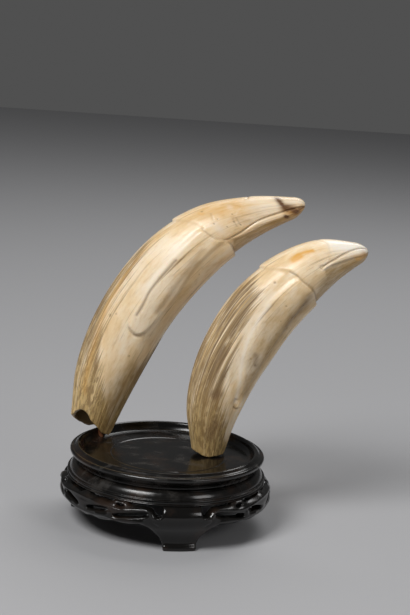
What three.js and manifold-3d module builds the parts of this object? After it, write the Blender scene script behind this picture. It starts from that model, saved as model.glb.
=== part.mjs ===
// A pair of sperm whale teeth, each carved as a resting bird, on a round lacquered wooden stand.
// Millimetres, +Z up. Everything is built round the stand's axis, and the group is moved at the
// end so that the origin lies at the middle of the underside of the whole object's box.
import * as THREE from 'three';
import { mergeVertices } from 'three/addons/utils/BufferGeometryUtils.js';
import Module from 'manifold-3d';

const wasm = await Module();
wasm.setup();

const FIT_GAP = 0.3; // left between pieces that touch

// Stand heights and radii
const TRAY_FLOOR_Z = 35;
const TRAY_UNDERSIDE_Z = 31.2;
const BASE_TOP_Z = TRAY_UNDERSIDE_Z - FIT_GAP;
const FASCIA_TOP_Z = 26.4;
const SHOULDER_R = 50.8;
const BULGE_R = 55;
const BORE_R = 44.5;
const LEDGE_BORE_R = 40;
const LEG_COUNT = 3;
const FRONT_LEG_DEG = 281.5; // seen from above, counted from +X
const STAND_SEGMENTS = 45;

// Turned tray: from the middle of the floor over the rim's two beads and down the waist
const TRAY_PROFILE = [
  [0, TRAY_FLOOR_Z],
  [43.2, TRAY_FLOOR_Z],
  [44.8, 36.6],
  [45.5, 38.8],
  [46.5, 39.6],
  [47.6, 39.2],
  [49.2, 38],
  [50.3, 37.8],
  [50.8, 36.7],
  [50.1, 35.3],
  [48.4, 33.9],
  [47.4, 32.6],
  [47.1, TRAY_UNDERSIDE_Z],
  [0, TRAY_UNDERSIDE_Z],
];

// Carved base: shoulder, fascia, bulging apron, foot, then back up the hollowed inside
const BASE_PROFILE = [
  [LEDGE_BORE_R, BASE_TOP_Z],
  [47.2, BASE_TOP_Z],
  [49.8, 28.8],
  [SHOULDER_R, FASCIA_TOP_Z],
  [51.2, 24.4],
  [54, 21.6],
  [BULGE_R, 17.8],
  [53.2, 13.4],
  [50, 8.4],
  [48.7, 2.6],
  [50.5, 2.4],
  [50.5, 0],
  [BORE_R, 0],
  [BORE_R, 8],
  [49, 14],
  [49, 22],
  [BORE_R, 27.2],
  [LEDGE_BORE_R, 27.2],
  [LEDGE_BORE_R, BASE_TOP_Z],
];

// Cuts through one half of the apron, as degrees from the middle of a leg and heights.
// The other half is their mirror image, and the pattern comes three times round the base.
const HALF_SPAN_DEG = 180 / LEG_COUNT;
const ARCH_CUT = [
  [10, -1], [10, 2.5], [12.6, 7], [18.5, 12.8], [23, 14.4], [33, 13], [38, 13.6], [48, 11.6],
  [53, 12.4], [HALF_SPAN_DEG + 0.2, 11], [HALF_SPAN_DEG + 0.2, -1],
];
const SCROLL_CUTS = [
  [[11.5, 24.1], [29.5, 24.1], [29, 22.8], [17, 22.6], [13.8, 19.4], [11.5, 19.8]],
  [[18.5, 20.4], [22, 20.4], [37.5, 17.4], [37, 15.8], [25, 17.4], [20, 18.6]],
  [[33, 22.6], [37, 22.8], [36.6, 21.4], [33.4, 21.2]],
  [[40, 24.1], [56.5, 24.1], [55, 22.9], [42, 22.7]],
  [[41.5, 19.4], [46, 19.6], [56, 17.4], [55, 16], [43.5, 17.6]],
];

// The two teeth. Each section has a point on the outer curve (the bird's back) and one on the
// inner curve (its belly), as x and z. All of a tooth's sections share one upright plane.
// A line over the surface is a list of pairs. Along the tooth, t runs from 0 at the root to 1
// at the tip. Round it, the angle runs from 0 on the back to 180 on the belly.
const LEFT_TOOTH = {
  planeY: 29,
  sections: [
    [-53.5, 45, -31.5, 37],
    [-52, 72, -22, 59.5],
    [-44.5, 99, -12.5, 80],
    [-31.5, 124.5, -2.5, 99.5],
    [-14.5, 146, 11, 118.5],
    [8.5, 162.5, 26.5, 137],
    [35, 169.5, 43, 150.5],
    [64.5, 171, 62.5, 161.5],
  ],
  // broken edge of the root, as angle and t, with an arched gap towards the viewer
  rim: [[0, 0], [20, 0.006], [38, 0.027], [55, 0.04], [68, 0.044], [78, 0.038], [88, 0.025],
    [105, 0.014], [120, 0.003], [140, -0.005], [170, -0.006], [185, 0.01], [197, 0.034], [216, 0.034],
    [232, 0.012], [250, -0.01], [285, -0.024], [325, -0.016], [360, 0]],
  neck: [[0, 0.632], [10, 0.636], [30, 0.661], [48, 0.681], [66, 0.694], [82, 0.702], [94, 0.712],
    [104, 0.728], [112, 0.738], [128, 0.741], [142, 0.738], [180, 0.732]],
  wingUpper: [[0.335, 100], [0.345, 88], [0.366, 82], [0.43, 79], [0.535, 73], [0.633, 68],
    [0.72, 62]],
  wingLower: [[0.335, 102], [0.345, 112], [0.365, 119], [0.41, 125], [0.478, 127], [0.54, 123],
    [0.616, 115], [0.72, 109]],
  wingTip: 0.333,
  mouth: [[0.748, 110], [0.79, 110], [0.821, 105], [0.851, 99], [0.88, 96], [0.91, 93],
    [0.94, 88], [1, 76]],
  cere: [[0, 0.85], [10, 0.845], [38, 0.83], [54, 0.812], [67, 0.797], [80, 0.786], [98, 0.779]],
  peg: { x: -36.8, y: 24.6, radius: 1.5, topZ: 46 },
};
const RIGHT_TOOTH = {
  planeY: 6,
  sections: [
    [12.5, 38, 29.5, 36.5],
    [8.5, 61, 35, 54.5],
    [11.5, 85, 42, 71.5],
    [20, 107.5, 50.5, 87.5],
    [32.5, 127, 60, 103.5],
    [51, 144, 70.5, 118.5],
    [71, 153, 83, 133.5],
    [95, 152.5, 97.5, 145.5],
  ],
  rim: [[0, 0], [50, -0.004], [88, -0.012], [130, -0.004], [180, 0], [230, 0.006], [270, 0.003],
    [310, -0.004], [360, 0]],
  neck: [[0, 0.645], [10, 0.651], [32, 0.669], [46, 0.694], [62, 0.718], [75, 0.731], [90, 0.739],
    [102, 0.746], [114, 0.751], [128, 0.75], [154, 0.735], [180, 0.73]],
  wingUpper: [[0.203, 139], [0.212, 129], [0.25, 127], [0.281, 122], [0.338, 110], [0.39, 100],
    [0.44, 93], [0.536, 85], [0.63, 80], [0.75, 78]],
  wingLower: [[0.203, 142], [0.215, 150], [0.25, 149], [0.3, 145], [0.4, 142], [0.5, 140],
    [0.6, 136], [0.69, 130], [0.75, 122]],
  wingTip: 0.201,
  mouth: [[0.818, 93], [0.831, 92], [0.859, 88], [0.885, 82], [0.915, 75], [0.943, 66],
    [0.965, 58], [1, 45]],
  cere: [[0, 0.85], [12, 0.86], [31, 0.875], [55, 0.875], [72, 0.866], [83, 0.855]],
  peg: { x: 21.4, y: 6, radius: 2.4, topZ: 60 },
};

// Shape shared by both teeth
const SIDE_TO_SIDE = 0.88; // breadth across the plane, as a part of the depth in it
const TIP_ROUND_FROM = 0.965;
const WALL_AT_RIM = 1.8;
const PULP_DEPTH = 0.26;
const NECK_STEP = 1.1;
const NECK_STEP_FADE = 14;
const WING_RISE = 1.3;
const WING_BEVEL = 1.8;
const MOUTH_DEPTH = 1;
const MOUTH_WIDTH = 1;
const CERE_RISE = 0.35;
const TOOTH_LENGTH = 170; // turns differences of t into millimetres in the relief

// Facets
const HALF_AROUND = 13; // columns of facets from the back to the belly, on either side
const AROUND = 2 * HALF_AROUND;
const BODY_ROWS = 21;
const HEAD_ROWS = 18;
const PULP_ROWS = 3;
const PEG_SIDES = 12;

// Colours
const IVORY = new THREE.MeshStandardMaterial({ color: 0xd8c19a, roughness: 0.4, metalness: 0 });
const LACQUER = new THREE.MeshStandardMaterial({ color: 0x0d0b0a, roughness: 0.22, metalness: 0 });
const BARE_WOOD = new THREE.MeshStandardMaterial({ color: 0x6b4526, roughness: 0.7, metalness: 0 });

// Small helpers

function clamp01(value) {
  return Math.min(1, Math.max(0, value));
}

function smoothStep(from, to, value) {
  const part = clamp01((value - from) / (to - from));
  return part * part * (3 - 2 * part);
}

// Value of a line at a place, from pairs of place and value, straight between them
function alongLine(pairs, place) {
  if (place <= pairs[0][0]) return pairs[0][1];
  for (let i = 1; i < pairs.length; i += 1) {
    const [endPlace, endValue] = pairs[i];
    const [startPlace, startValue] = pairs[i - 1];
    if (place <= endPlace) {
      const part = (place - startPlace) / (endPlace - startPlace);
      return startValue + (endValue - startValue) * part;
    }
  }
  return pairs[pairs.length - 1][1];
}

function toSolid(geometry) {
  const bare = geometry.clone();
  bare.deleteAttribute('normal');
  bare.deleteAttribute('uv');
  const merged = mergeVertices(bare, 1e-4);
  return new wasm.Manifold(new wasm.Mesh({
    numProp: 3,
    vertProperties: new Float32Array(merged.attributes.position.array),
    triVerts: new Uint32Array(merged.index.array),
  }));
}

function toGeometry(solid) {
  const mesh = solid.getMesh();
  const geometry = new THREE.BufferGeometry();
  geometry.setAttribute('position', new THREE.BufferAttribute(mesh.vertProperties, 3));
  geometry.setIndex(new THREE.BufferAttribute(mesh.triVerts, 1));
  geometry.computeVertexNormals();
  return geometry;
}

function turned(profile) {
  const points = profile.map(([radius, z]) => new THREE.Vector2(radius, z)).reverse();
  const geometry = new THREE.LatheGeometry(points, STAND_SEGMENTS);
  geometry.rotateX(Math.PI / 2); // a lathe turns about Y, and the stand's axis is Z
  return geometry;
}

// Stand

// A cut right through the apron, bent round the axis from an outline in degrees and heights
function apronCutter(outline, centreDeg, side) {
  const innerR = 36;
  const outerR = 66;
  const flat = new THREE.Shape(outline.map(([deg, z]) => new THREE.Vector2(deg * side, z)));
  const geometry = new THREE.ExtrudeGeometry(flat, { depth: outerR - innerR, bevelEnabled: false });
  const place = geometry.attributes.position;
  for (let i = 0; i < place.count; i += 1) {
    const angle = THREE.MathUtils.degToRad(centreDeg + place.getX(i));
    const radius = innerR + place.getZ(i);
    place.setXYZ(i, radius * Math.cos(angle), radius * Math.sin(angle), place.getY(i));
  }
  return geometry;
}

function makeStandBase() {
  let solid = toSolid(turned(BASE_PROFILE));
  for (let leg = 0; leg < LEG_COUNT; leg += 1) {
    const legDeg = FRONT_LEG_DEG + (leg * 360) / LEG_COUNT;
    for (const side of [-1, 1]) {
      for (const outline of [ARCH_CUT, ...SCROLL_CUTS]) {
        solid = solid.subtract(toSolid(apronCutter(outline, legDeg, side)));
      }
    }
  }
  return toGeometry(solid);
}

function pegGeometry(peg, radius, bottomZ, topZ) {
  const geometry = new THREE.CylinderGeometry(radius, radius, topZ - bottomZ, PEG_SIDES);
  geometry.rotateX(Math.PI / 2);
  geometry.translate(peg.x, peg.y, (topZ + bottomZ) / 2);
  return geometry;
}

function makeStandTray() {
  let solid = toSolid(turned(TRAY_PROFILE));
  for (const { peg } of [LEFT_TOOTH, RIGHT_TOOTH]) {
    const hole = pegGeometry(peg, peg.radius + FIT_GAP, TRAY_UNDERSIDE_Z + 1, TRAY_FLOOR_Z + 6);
    solid = solid.subtract(toSolid(hole));
  }
  return toGeometry(solid);
}

function makePeg({ peg }) {
  return pegGeometry(peg, peg.radius, TRAY_UNDERSIDE_Z + 1 + FIT_GAP, peg.topZ);
}

// Teeth

// The section at t: its middle, the direction towards the back and half its depth
function sectionAt(tooth, t) {
  const ends = [0, 2].map((first) => {
    const points = tooth.sections.map((row) => new THREE.Vector3(row[first], 0, row[first + 1]));
    const curve = new THREE.CatmullRomCurve3(points, false, 'catmullrom', 0.5);
    const start = Math.max(t, 0);
    const point = curve.getPoint(Math.min(start, 1));
    if (t < 0) {
      // past the root's first section the sides run straight on
      const slope = curve.getPoint(0.01).sub(points[0]).multiplyScalar(100);
      point.addScaledVector(slope, t);
    }
    return point;
  });
  const middle = ends[0].clone().add(ends[1]).multiplyScalar(0.5);
  const towardsBack = ends[0].clone().sub(middle);
  const halfDepth = towardsBack.length();
  return { middle, towardsBack: towardsBack.normalize(), halfDepth };
}

function nearSide(deg) {
  return deg > 180 ? 360 - deg : deg;
}

function degreeLength(halfDepth) {
  return (Math.PI * halfDepth) / 180;
}

// Height of the carving over the plain tooth, in millimetres
function carving(tooth, t, deg, halfDepth) {
  const side = nearSide(deg); // both sides of the bird are carved alike
  const pastNeck = (t - alongLine(tooth.neck, side)) * TOOTH_LENGTH;
  const headProud = 1 - smoothStep(60, 125, side);
  const collarProud = smoothStep(90, 130, side);
  const fade = Math.exp(-Math.abs(pastNeck) / NECK_STEP_FADE);
  let height = NECK_STEP * fade * (pastNeck > 0 ? headProud - 0.4 * collarProud : collarProud);

  const mmPerDegree = degreeLength(halfDepth);
  const insideWing = Math.min(
    (side - alongLine(tooth.wingUpper, t)) * mmPerDegree,
    (alongLine(tooth.wingLower, t) - side) * mmPerDegree,
    (t - tooth.wingTip) * TOOTH_LENGTH,
  );
  if (pastNeck < 0) height += WING_RISE * smoothStep(0, WING_BEVEL, insideWing);

  const mouthStart = tooth.mouth[0][0];
  const fromMouth = (side - alongLine(tooth.mouth, t)) * mmPerDegree;
  const mouthOpen = smoothStep(mouthStart - 0.01, mouthStart + 0.03, t);
  height -= MOUTH_DEPTH * mouthOpen * Math.exp(-((fromMouth / MOUTH_WIDTH) ** 2));

  const pastCere = (t - alongLine(tooth.cere, side)) * TOOTH_LENGTH;
  const onUpperBeak = 1 - smoothStep(80, 100, side);
  height += CERE_RISE * onUpperBeak * smoothStep(-1, 0, pastCere) * Math.exp(-Math.max(0, pastCere) / 10);
  return height;
}

// A point of the outside, or of the pulp hollow's wall when part says how near its end it is
function toothPoint(tooth, t, deg, part = null) {
  const { middle, towardsBack, halfDepth } = sectionAt(tooth, t);
  const angle = THREE.MathUtils.degToRad(deg);
  const past = clamp01((t - TIP_ROUND_FROM) / (1 - TIP_ROUND_FROM));
  const rounding = Math.sqrt(1 - past * past);
  let depth = halfDepth * rounding;
  let breadth = halfDepth * SIDE_TO_SIDE * rounding;
  if (part === null) {
    const height = carving(tooth, t, deg, halfDepth) * rounding;
    depth += height;
    breadth += height;
  } else {
    const taper = Math.sqrt(1 - part);
    depth = (depth - WALL_AT_RIM) * taper;
    breadth = (breadth - WALL_AT_RIM) * taper;
  }
  const point = middle.clone().addScaledVector(towardsBack, depth * Math.cos(angle));
  point.y = tooth.planeY - breadth * Math.sin(angle);
  return point;
}

// Columns of facets that follow the wing's two edges, as pairs of column number and angle. Below
// the wing's tip they spread out again.
function wingGuides(tooth, t) {
  const bevel = WING_BEVEL / degreeLength(sectionAt(tooth, t).halfDepth);
  const upper = alongLine(tooth.wingUpper, t);
  const lower = alongLine(tooth.wingLower, t);
  const centre = (upper + lower) / 2;
  const spread = 22 * (1 - smoothStep(tooth.wingTip - 0.12, tooth.wingTip, t));
  const half = Math.max((lower - upper) / 2, spread, 1.2 * bevel);
  return [
    [0, 0],
    [5, centre - half],
    [6, centre - half + bevel],
    [9, centre + half - bevel],
    [10, centre + half],
    [HALF_AROUND, 180],
  ];
}

// The same for the mouth line, which has a column on it and one at each side of its groove
function mouthGuides(tooth, t) {
  const halfWidth = Math.min(12, (1.6 * MOUTH_WIDTH) / degreeLength(sectionAt(tooth, t).halfDepth));
  const line = alongLine(tooth.mouth, t);
  return [[0, 0], [7, line - halfWidth], [8, line], [9, line + halfWidth], [HALF_AROUND, 180]];
}

function columnAngle(guides, column) {
  const near = Math.min(column, AROUND - column);
  const deg = alongLine(guides, near);
  return near === column ? deg : 360 - deg;
}

// Angles of a ring's points. Its t depends on the angle, so the guides are asked twice.
function ringAngles(tooth, guidesAt, tAt) {
  return Array.from({ length: AROUND }, (_, column) => {
    const evenly = (column * 360) / AROUND;
    const guess = columnAngle(guidesAt(tooth, tAt(evenly)), column);
    return columnAngle(guidesAt(tooth, tAt(guess)), column);
  });
}

// Rings of points from the end of the pulp hollow, out over the broken rim and up to the tip
function toothRings(tooth) {
  const rings = [];
  const rimT = (deg) => alongLine(tooth.rim, deg);
  const neckT = (deg) => alongLine(tooth.neck, nearSide(deg));
  for (let row = PULP_ROWS - 1; row >= 0; row -= 1) {
    const part = row / PULP_ROWS;
    const rowT = (deg) => rimT(deg) + (PULP_DEPTH - rimT(deg)) * part;
    const angles = ringAngles(tooth, wingGuides, rimT);
    rings.push(angles.map((deg) => toothPoint(tooth, rowT(deg), deg, part)));
  }
  for (let row = 0; row <= BODY_ROWS; row += 1) {
    const rowT = (deg) => rimT(deg) + ((neckT(deg) - 0.002 - rimT(deg)) * row) / BODY_ROWS;
    rings.push(ringAngles(tooth, wingGuides, rowT).map((deg) => toothPoint(tooth, rowT(deg), deg)));
  }
  for (let row = 0; row < HEAD_ROWS; row += 1) {
    // rows come closer together towards the rounded tip
    const part = Math.sin((row / HEAD_ROWS) * (Math.PI / 2));
    const rowT = (deg) => neckT(deg) + 0.004 + (1 - neckT(deg) - 0.004) * part;
    rings.push(ringAngles(tooth, mouthGuides, rowT).map((deg) => toothPoint(tooth, rowT(deg), deg)));
  }
  return rings;
}

function makeTooth(tooth) {
  const rings = toothRings(tooth);
  const hollowEnd = sectionAt(tooth, PULP_DEPTH).middle;
  hollowEnd.y = tooth.planeY;
  const tip = toothPoint(tooth, 1, 0);
  const points = [hollowEnd, ...rings.flat(), tip];
  const triangles = [];
  const at = (row, i) => 1 + row * AROUND + (i % AROUND);
  const last = rings.length - 1;
  for (let i = 0; i < AROUND; i += 1) {
    triangles.push(0, at(0, i + 1), at(0, i));
    for (let row = 0; row < last; row += 1) {
      triangles.push(at(row, i), at(row, i + 1), at(row + 1, i + 1));
      triangles.push(at(row, i), at(row + 1, i + 1), at(row + 1, i));
    }
    triangles.push(at(last, i), at(last, i + 1), points.length - 1);
  }
  const geometry = new THREE.BufferGeometry();
  const places = new Float32Array(points.flatMap((point) => point.toArray()));
  geometry.setAttribute('position', new THREE.BufferAttribute(places, 3));
  geometry.setIndex(triangles);
  geometry.computeVertexNormals();
  return geometry;
}

// The whole object

function piece(name, geometry, material) {
  const mesh = new THREE.Mesh(geometry, material);
  mesh.name = name;
  return mesh;
}

const group = new THREE.Group();
group.add(piece('stand_base', makeStandBase(), LACQUER));
group.add(piece('stand_tray', makeStandTray(), LACQUER));
group.add(piece('left_tooth', makeTooth(LEFT_TOOTH), IVORY));
group.add(piece('right_tooth', makeTooth(RIGHT_TOOTH), IVORY));
group.add(piece('left_peg', makePeg(LEFT_TOOTH), BARE_WOOD));
group.add(piece('right_peg', makePeg(RIGHT_TOOTH), BARE_WOOD));

const box = new THREE.Box3().setFromObject(group);
const middle = box.getCenter(new THREE.Vector3());
group.position.set(-middle.x, -middle.y, -box.min.z);

export default group;
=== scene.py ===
# %% [markdown]
# # Two carved whale teeth on a lacquered stand
# The object is a pair of sperm whale teeth. Each one is carved as a resting bird with a beak at
# the tip, a folded wing on either side and the natural, streaky root left as the body. They lean
# over a small round stand of black lacquered wood. The measured solids come first, and every
# finished piece below is built round them in the same place and at the same size.

# %% Load the measured solids
import math

import bpy
import numpy as np
from mathutils import Matrix, Vector, noise


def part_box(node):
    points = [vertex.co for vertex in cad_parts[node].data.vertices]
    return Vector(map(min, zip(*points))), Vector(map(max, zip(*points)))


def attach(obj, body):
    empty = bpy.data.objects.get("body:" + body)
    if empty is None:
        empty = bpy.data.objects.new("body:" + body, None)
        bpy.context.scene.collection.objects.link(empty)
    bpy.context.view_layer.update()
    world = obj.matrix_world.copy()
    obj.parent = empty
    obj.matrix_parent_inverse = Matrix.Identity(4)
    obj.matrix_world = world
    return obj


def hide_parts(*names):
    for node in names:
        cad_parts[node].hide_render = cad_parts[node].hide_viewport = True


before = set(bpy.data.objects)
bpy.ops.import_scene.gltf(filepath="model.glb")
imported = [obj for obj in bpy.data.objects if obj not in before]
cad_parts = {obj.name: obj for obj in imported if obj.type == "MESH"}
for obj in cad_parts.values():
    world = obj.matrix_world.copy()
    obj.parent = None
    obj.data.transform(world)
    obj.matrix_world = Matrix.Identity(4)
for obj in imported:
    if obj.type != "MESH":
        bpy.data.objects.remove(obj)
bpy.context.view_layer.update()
MM = 0.001
print("solids:", ", ".join(sorted(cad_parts)))

# %% [markdown]
# ## Where the stand's axis is
# The stand is turned, so nearly everything on it is measured from its axis. The tray's solid
# tells where that axis is. Sizes below are in millimetres from the axis and from the table, and
# one function turns them into the scene's metres.

# %% Find the axis and convert millimetres
TRAY_RIM_RADIUS = 50.8
ROOT_BODY = "root"
tray_low, tray_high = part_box("stand_tray")
AXIS_X = (tray_low.x + tray_high.x) / 2 / MM
AXIS_Y = tray_low.y / MM + TRAY_RIM_RADIUS
AXIS = (AXIS_X * MM, AXIS_Y * MM, 0)


def in_metres(points):
    """Points in millimetres round the stand's axis, as metres in the scene."""
    return (np.asarray(points, float) + (AXIS_X, AXIS_Y, 0)) * MM


print(f"stand axis at {AXIS_X:.2f}, {AXIS_Y:.2f} mm")

# %% [markdown]
# ## The camera
# The viewpoint was worked out from the ellipses of the stand's rims: a long lens, a little under
# 0.9 m away and looking down by about twelve degrees, with the camera tipped slightly to one
# side. It is set first, so that every later piece can be judged from it.

# %% Place the camera
CAMERA_PLACE = (14.64, -858.3, 301.2)
CAMERA_DOWN_DEG = 12.243
CAMERA_TIP_DEG = 3.832
LENS_MM = 100
SENSOR_WIDTH_MM = 36
NEAREST_SEEN = 0.05
FARTHEST_SEEN = 20


def new_object(name, data):
    """A new object in the scene, from a mesh, a light or a camera."""
    made = bpy.data.objects.new(name, data)
    bpy.context.scene.collection.objects.link(made)
    return made


camera_data = bpy.data.cameras.new("camera")
camera_data.lens = LENS_MM
camera_data.sensor_width = SENSOR_WIDTH_MM
camera_data.clip_start = NEAREST_SEEN
camera_data.clip_end = FARTHEST_SEEN
camera = new_object("camera", camera_data)
camera.matrix_world = (
    Matrix.Translation(in_metres(CAMERA_PLACE))
    @ Matrix.Rotation(math.radians(90 - CAMERA_DOWN_DEG), 4, "X")
    @ Matrix.Rotation(math.radians(CAMERA_TIP_DEG), 4, "Z")
)
bpy.context.scene.camera = camera
print("camera at", [round(value, 3) for value in camera.matrix_world.translation])

# %% [markdown]
# ## Lines drawn through a few points
# The carver's lines are described by a few points each, and a smooth curve is drawn through
# them. A Catmull-Rom curve passes through every one of its points, which makes it easy to place
# the points on features of the object.

# %% Curves through points
def rounded_line(points, steps=16):
    """A smooth curve through the points, as a dense list of points."""
    points = np.asarray(points, float)
    before = 2 * points[0] - points[1]
    after = 2 * points[-1] - points[-2]
    padded = np.vstack([before, points, after])
    part = np.linspace(0, 1, steps, endpoint=False)[:, None]
    spans = []
    for i in range(len(points) - 1):
        p0, p1, p2, p3 = padded[i : i + 4]
        spans.append(0.5 * (2 * p1 + (p2 - p0) * part + (2 * p0 - 5 * p1 + 4 * p2 - p3) * part**2
                            + (3 * p1 - p0 - 3 * p2 + p3) * part**3))
    return np.vstack(spans + [points[-1:]])


def value_along(pairs, place):
    """Value at a place, from pairs of place and value with a smooth curve between them."""
    curve = rounded_line(pairs)
    return np.interp(place, np.maximum.accumulate(curve[:, 0]), curve[:, 1])


def smooth_step(start, end, value):
    """0 before the start, 1 after the end and a smooth ramp between them."""
    part = np.clip((value - start) / (end - start), 0, 1)
    return part * part * (3 - 2 * part)


def faded(gap, half_width):
    """1 on a line, fading to almost nothing at twice its half width."""
    return np.exp(-((gap / half_width) ** 2))


print("a line through 3 points has", len(rounded_line([(0, 0), (1, 2), (2, 0)])), "points")

# %% [markdown]
# ## The shape of a tooth
# A tooth is a swept form: the outline of its back and of its belly are two curves, and each
# section between them is an oval. The same sections drive the measured solid, so the fine
# surface made here lies on it. Along the tooth t runs from 0 at the root to 1 at the tip, and
# round it the angle runs from 0 on the back, over the side that faces the camera at 90, to 180
# on the belly.

# %% Sizes of the left tooth
# A section is x and z of the back and then of the belly. The lines of the wing, the mouth and
# the lip run along the tooth as (t, degrees). The rim, the neck and the cere, which is the
# swelling at the base of the upper beak, run round it as (degrees, t).
LEFT_TOOTH = {
    "name": "left_tooth",
    "plane_y": 29,
    "sections": [
        (-53.5, 45, -31.5, 37), (-52, 72, -22, 59.5), (-44.5, 99, -12.5, 80),
        (-31.5, 124.5, -2.5, 99.5), (-14.5, 146, 11, 118.5), (8.5, 162.5, 26.5, 137),
        (35, 169.5, 43, 150.5), (64.5, 171, 62.5, 161.5),
    ],
    "rim": [(0, 0), (20, 0.006), (38, 0.027), (55, 0.04), (68, 0.044), (78, 0.038), (88, 0.025),
            (105, 0.014), (120, 0.003), (140, -0.005), (170, -0.006), (185, 0.01), (197, 0.034),
            (216, 0.034), (232, 0.012), (250, -0.01), (285, -0.024), (325, -0.016), (360, 0)],
    "neck": [(0, 0.632), (10, 0.636), (30, 0.661), (48, 0.681), (66, 0.694), (82, 0.702),
             (94, 0.712), (104, 0.728), (112, 0.738), (128, 0.741), (142, 0.738), (180, 0.732)],
    "wing_upper": [(0.335, 100), (0.345, 88), (0.366, 82), (0.43, 79), (0.535, 73), (0.633, 68),
                   (0.72, 62)],
    "wing_lower": [(0.335, 102), (0.345, 112), (0.365, 119), (0.41, 125), (0.478, 127),
                   (0.54, 123), (0.616, 115), (0.72, 109)],
    "wing_tip": 0.333,
    "mouth": [(0.748, 110), (0.79, 110), (0.821, 105), (0.851, 99), (0.88, 96), (0.91, 93),
              (0.94, 88), (1, 76)],
    "lip": [(0.73, 122), (0.748, 115), (0.78, 118), (0.818, 120), (0.861, 116), (0.896, 114),
            (0.929, 112), (1, 108)],
    "cere": [(0, 0.85), (10, 0.845), (38, 0.83), (54, 0.812), (67, 0.797), (80, 0.786),
             (98, 0.779)],
}
print("the left tooth is drawn with", len(LEFT_TOOTH["sections"]), "sections")

# %% Sizes of the right tooth
RIGHT_TOOTH = {
    "name": "right_tooth",
    "plane_y": 6,
    "sections": [
        (12.5, 38, 29.5, 36.5), (8.5, 61, 35, 54.5), (11.5, 85, 42, 71.5),
        (20, 107.5, 50.5, 87.5), (32.5, 127, 60, 103.5), (51, 144, 70.5, 118.5),
        (71, 153, 83, 133.5), (95, 152.5, 97.5, 145.5),
    ],
    "rim": [(0, 0), (50, -0.004), (88, -0.012), (130, -0.004), (180, 0), (230, 0.006),
            (270, 0.003), (310, -0.004), (360, 0)],
    "neck": [(0, 0.645), (10, 0.651), (32, 0.669), (46, 0.694), (62, 0.718), (75, 0.731),
             (90, 0.739), (102, 0.746), (114, 0.751), (128, 0.75), (154, 0.735), (180, 0.73)],
    "wing_upper": [(0.203, 139), (0.212, 129), (0.25, 127), (0.281, 122), (0.338, 110),
                   (0.39, 100), (0.44, 93), (0.536, 85), (0.63, 80), (0.75, 78)],
    "wing_lower": [(0.203, 142), (0.215, 150), (0.25, 149), (0.3, 145), (0.4, 142), (0.5, 140),
                   (0.6, 136), (0.69, 130), (0.75, 122)],
    "wing_tip": 0.201,
    "mouth": [(0.818, 91), (0.835, 89), (0.858, 87), (0.885, 84), (0.915, 76), (0.943, 66),
              (0.965, 57), (1, 45)],
    "lip": [(0.74, 124), (0.78, 108), (0.815, 98), (0.85, 95), (0.89, 97), (0.92, 97),
            (0.948, 98), (0.975, 102), (1, 106)],
    "cere": [(0, 0.85), (12, 0.86), (31, 0.875), (55, 0.875), (72, 0.866), (83, 0.855)],
}
print("the right tooth is drawn with", len(RIGHT_TOOTH["sections"]), "sections")

# %% Sizes that both teeth share
# The breadth is a share of the depth. The rounded tip and the depth of the hollow are in t.
SIDE_TO_SIDE = 0.88
TIP_ROUND_FROM = 0.965
PULP_DEPTH = 0.26
WALL_AT_RIM = 1.8
TOOTH_LENGTH = 170
print(f"one hundredth of t is {TOOTH_LENGTH / 100} mm")

# %% [markdown]
# ## The carver's strokes
# Besides the big steps at the neck and the wing, the carver cut single lines: the division of
# the wing, the curl of its tip, the edge of the beak. Each stroke is a line over the surface
# with a depth, a half width and the amount of dark dirt that has settled in it. A negative depth
# is a crest.

# %% Strokes on each tooth
# Each stroke: its line as (t, degrees), its depth and half width in mm, and its dirt.
LEFT_TOOTH["strokes"] = [
    ([(0.585, 82), (0.529, 84), (0.468, 85), (0.438, 88), (0.413, 90), (0.389, 90)],
     0.55, 0.75, 0.75),
    ([(0.342, 90), (0.335, 97), (0.334, 104), (0.34, 111), (0.355, 117)], 0.4, 0.8, 0.35),
    ([(0.659, 100), (0.625, 105), (0.579, 110), (0.53, 113), (0.492, 116), (0.438, 116)],
     0.45, 1.9, 0.22),
    ([(0.677, 66), (0.633, 68), (0.585, 70), (0.535, 73), (0.486, 76), (0.431, 79), (0.391, 80)],
     -0.45, 2.6, 0),
    ([(0.632, 0), (0.636, 10), (0.661, 30), (0.681, 48), (0.694, 66)], 0.05, 0.8, 0.1),
    ([(0.694, 66), (0.702, 82), (0.712, 94), (0.728, 104), (0.738, 109), (0.75, 111)],
     0.4, 0.6, 0.5),
    ([(0.731, 108), (0.739, 117), (0.742, 128), (0.739, 142), (0.732, 180)], 0.3, 0.6, 0.4),
    ([(0.85, 0), (0.845, 10), (0.83, 38), (0.81, 54), (0.795, 67), (0.784, 80), (0.779, 98)],
     0.06, 0.7, 0.08),
    ([(0.85, 0), (0.845, 16)], 0.45, 0.5, 0.4),
    ([(0.786, 73), (0.787, 91)], 0.06, 0.5, 0.4),
    ([(0.796, 73), (0.799, 90)], 0.06, 0.5, 0.35),
    ([(0.735, 44), (0.733, 59)], 0.05, 0.5, 0.35),
]
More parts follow.
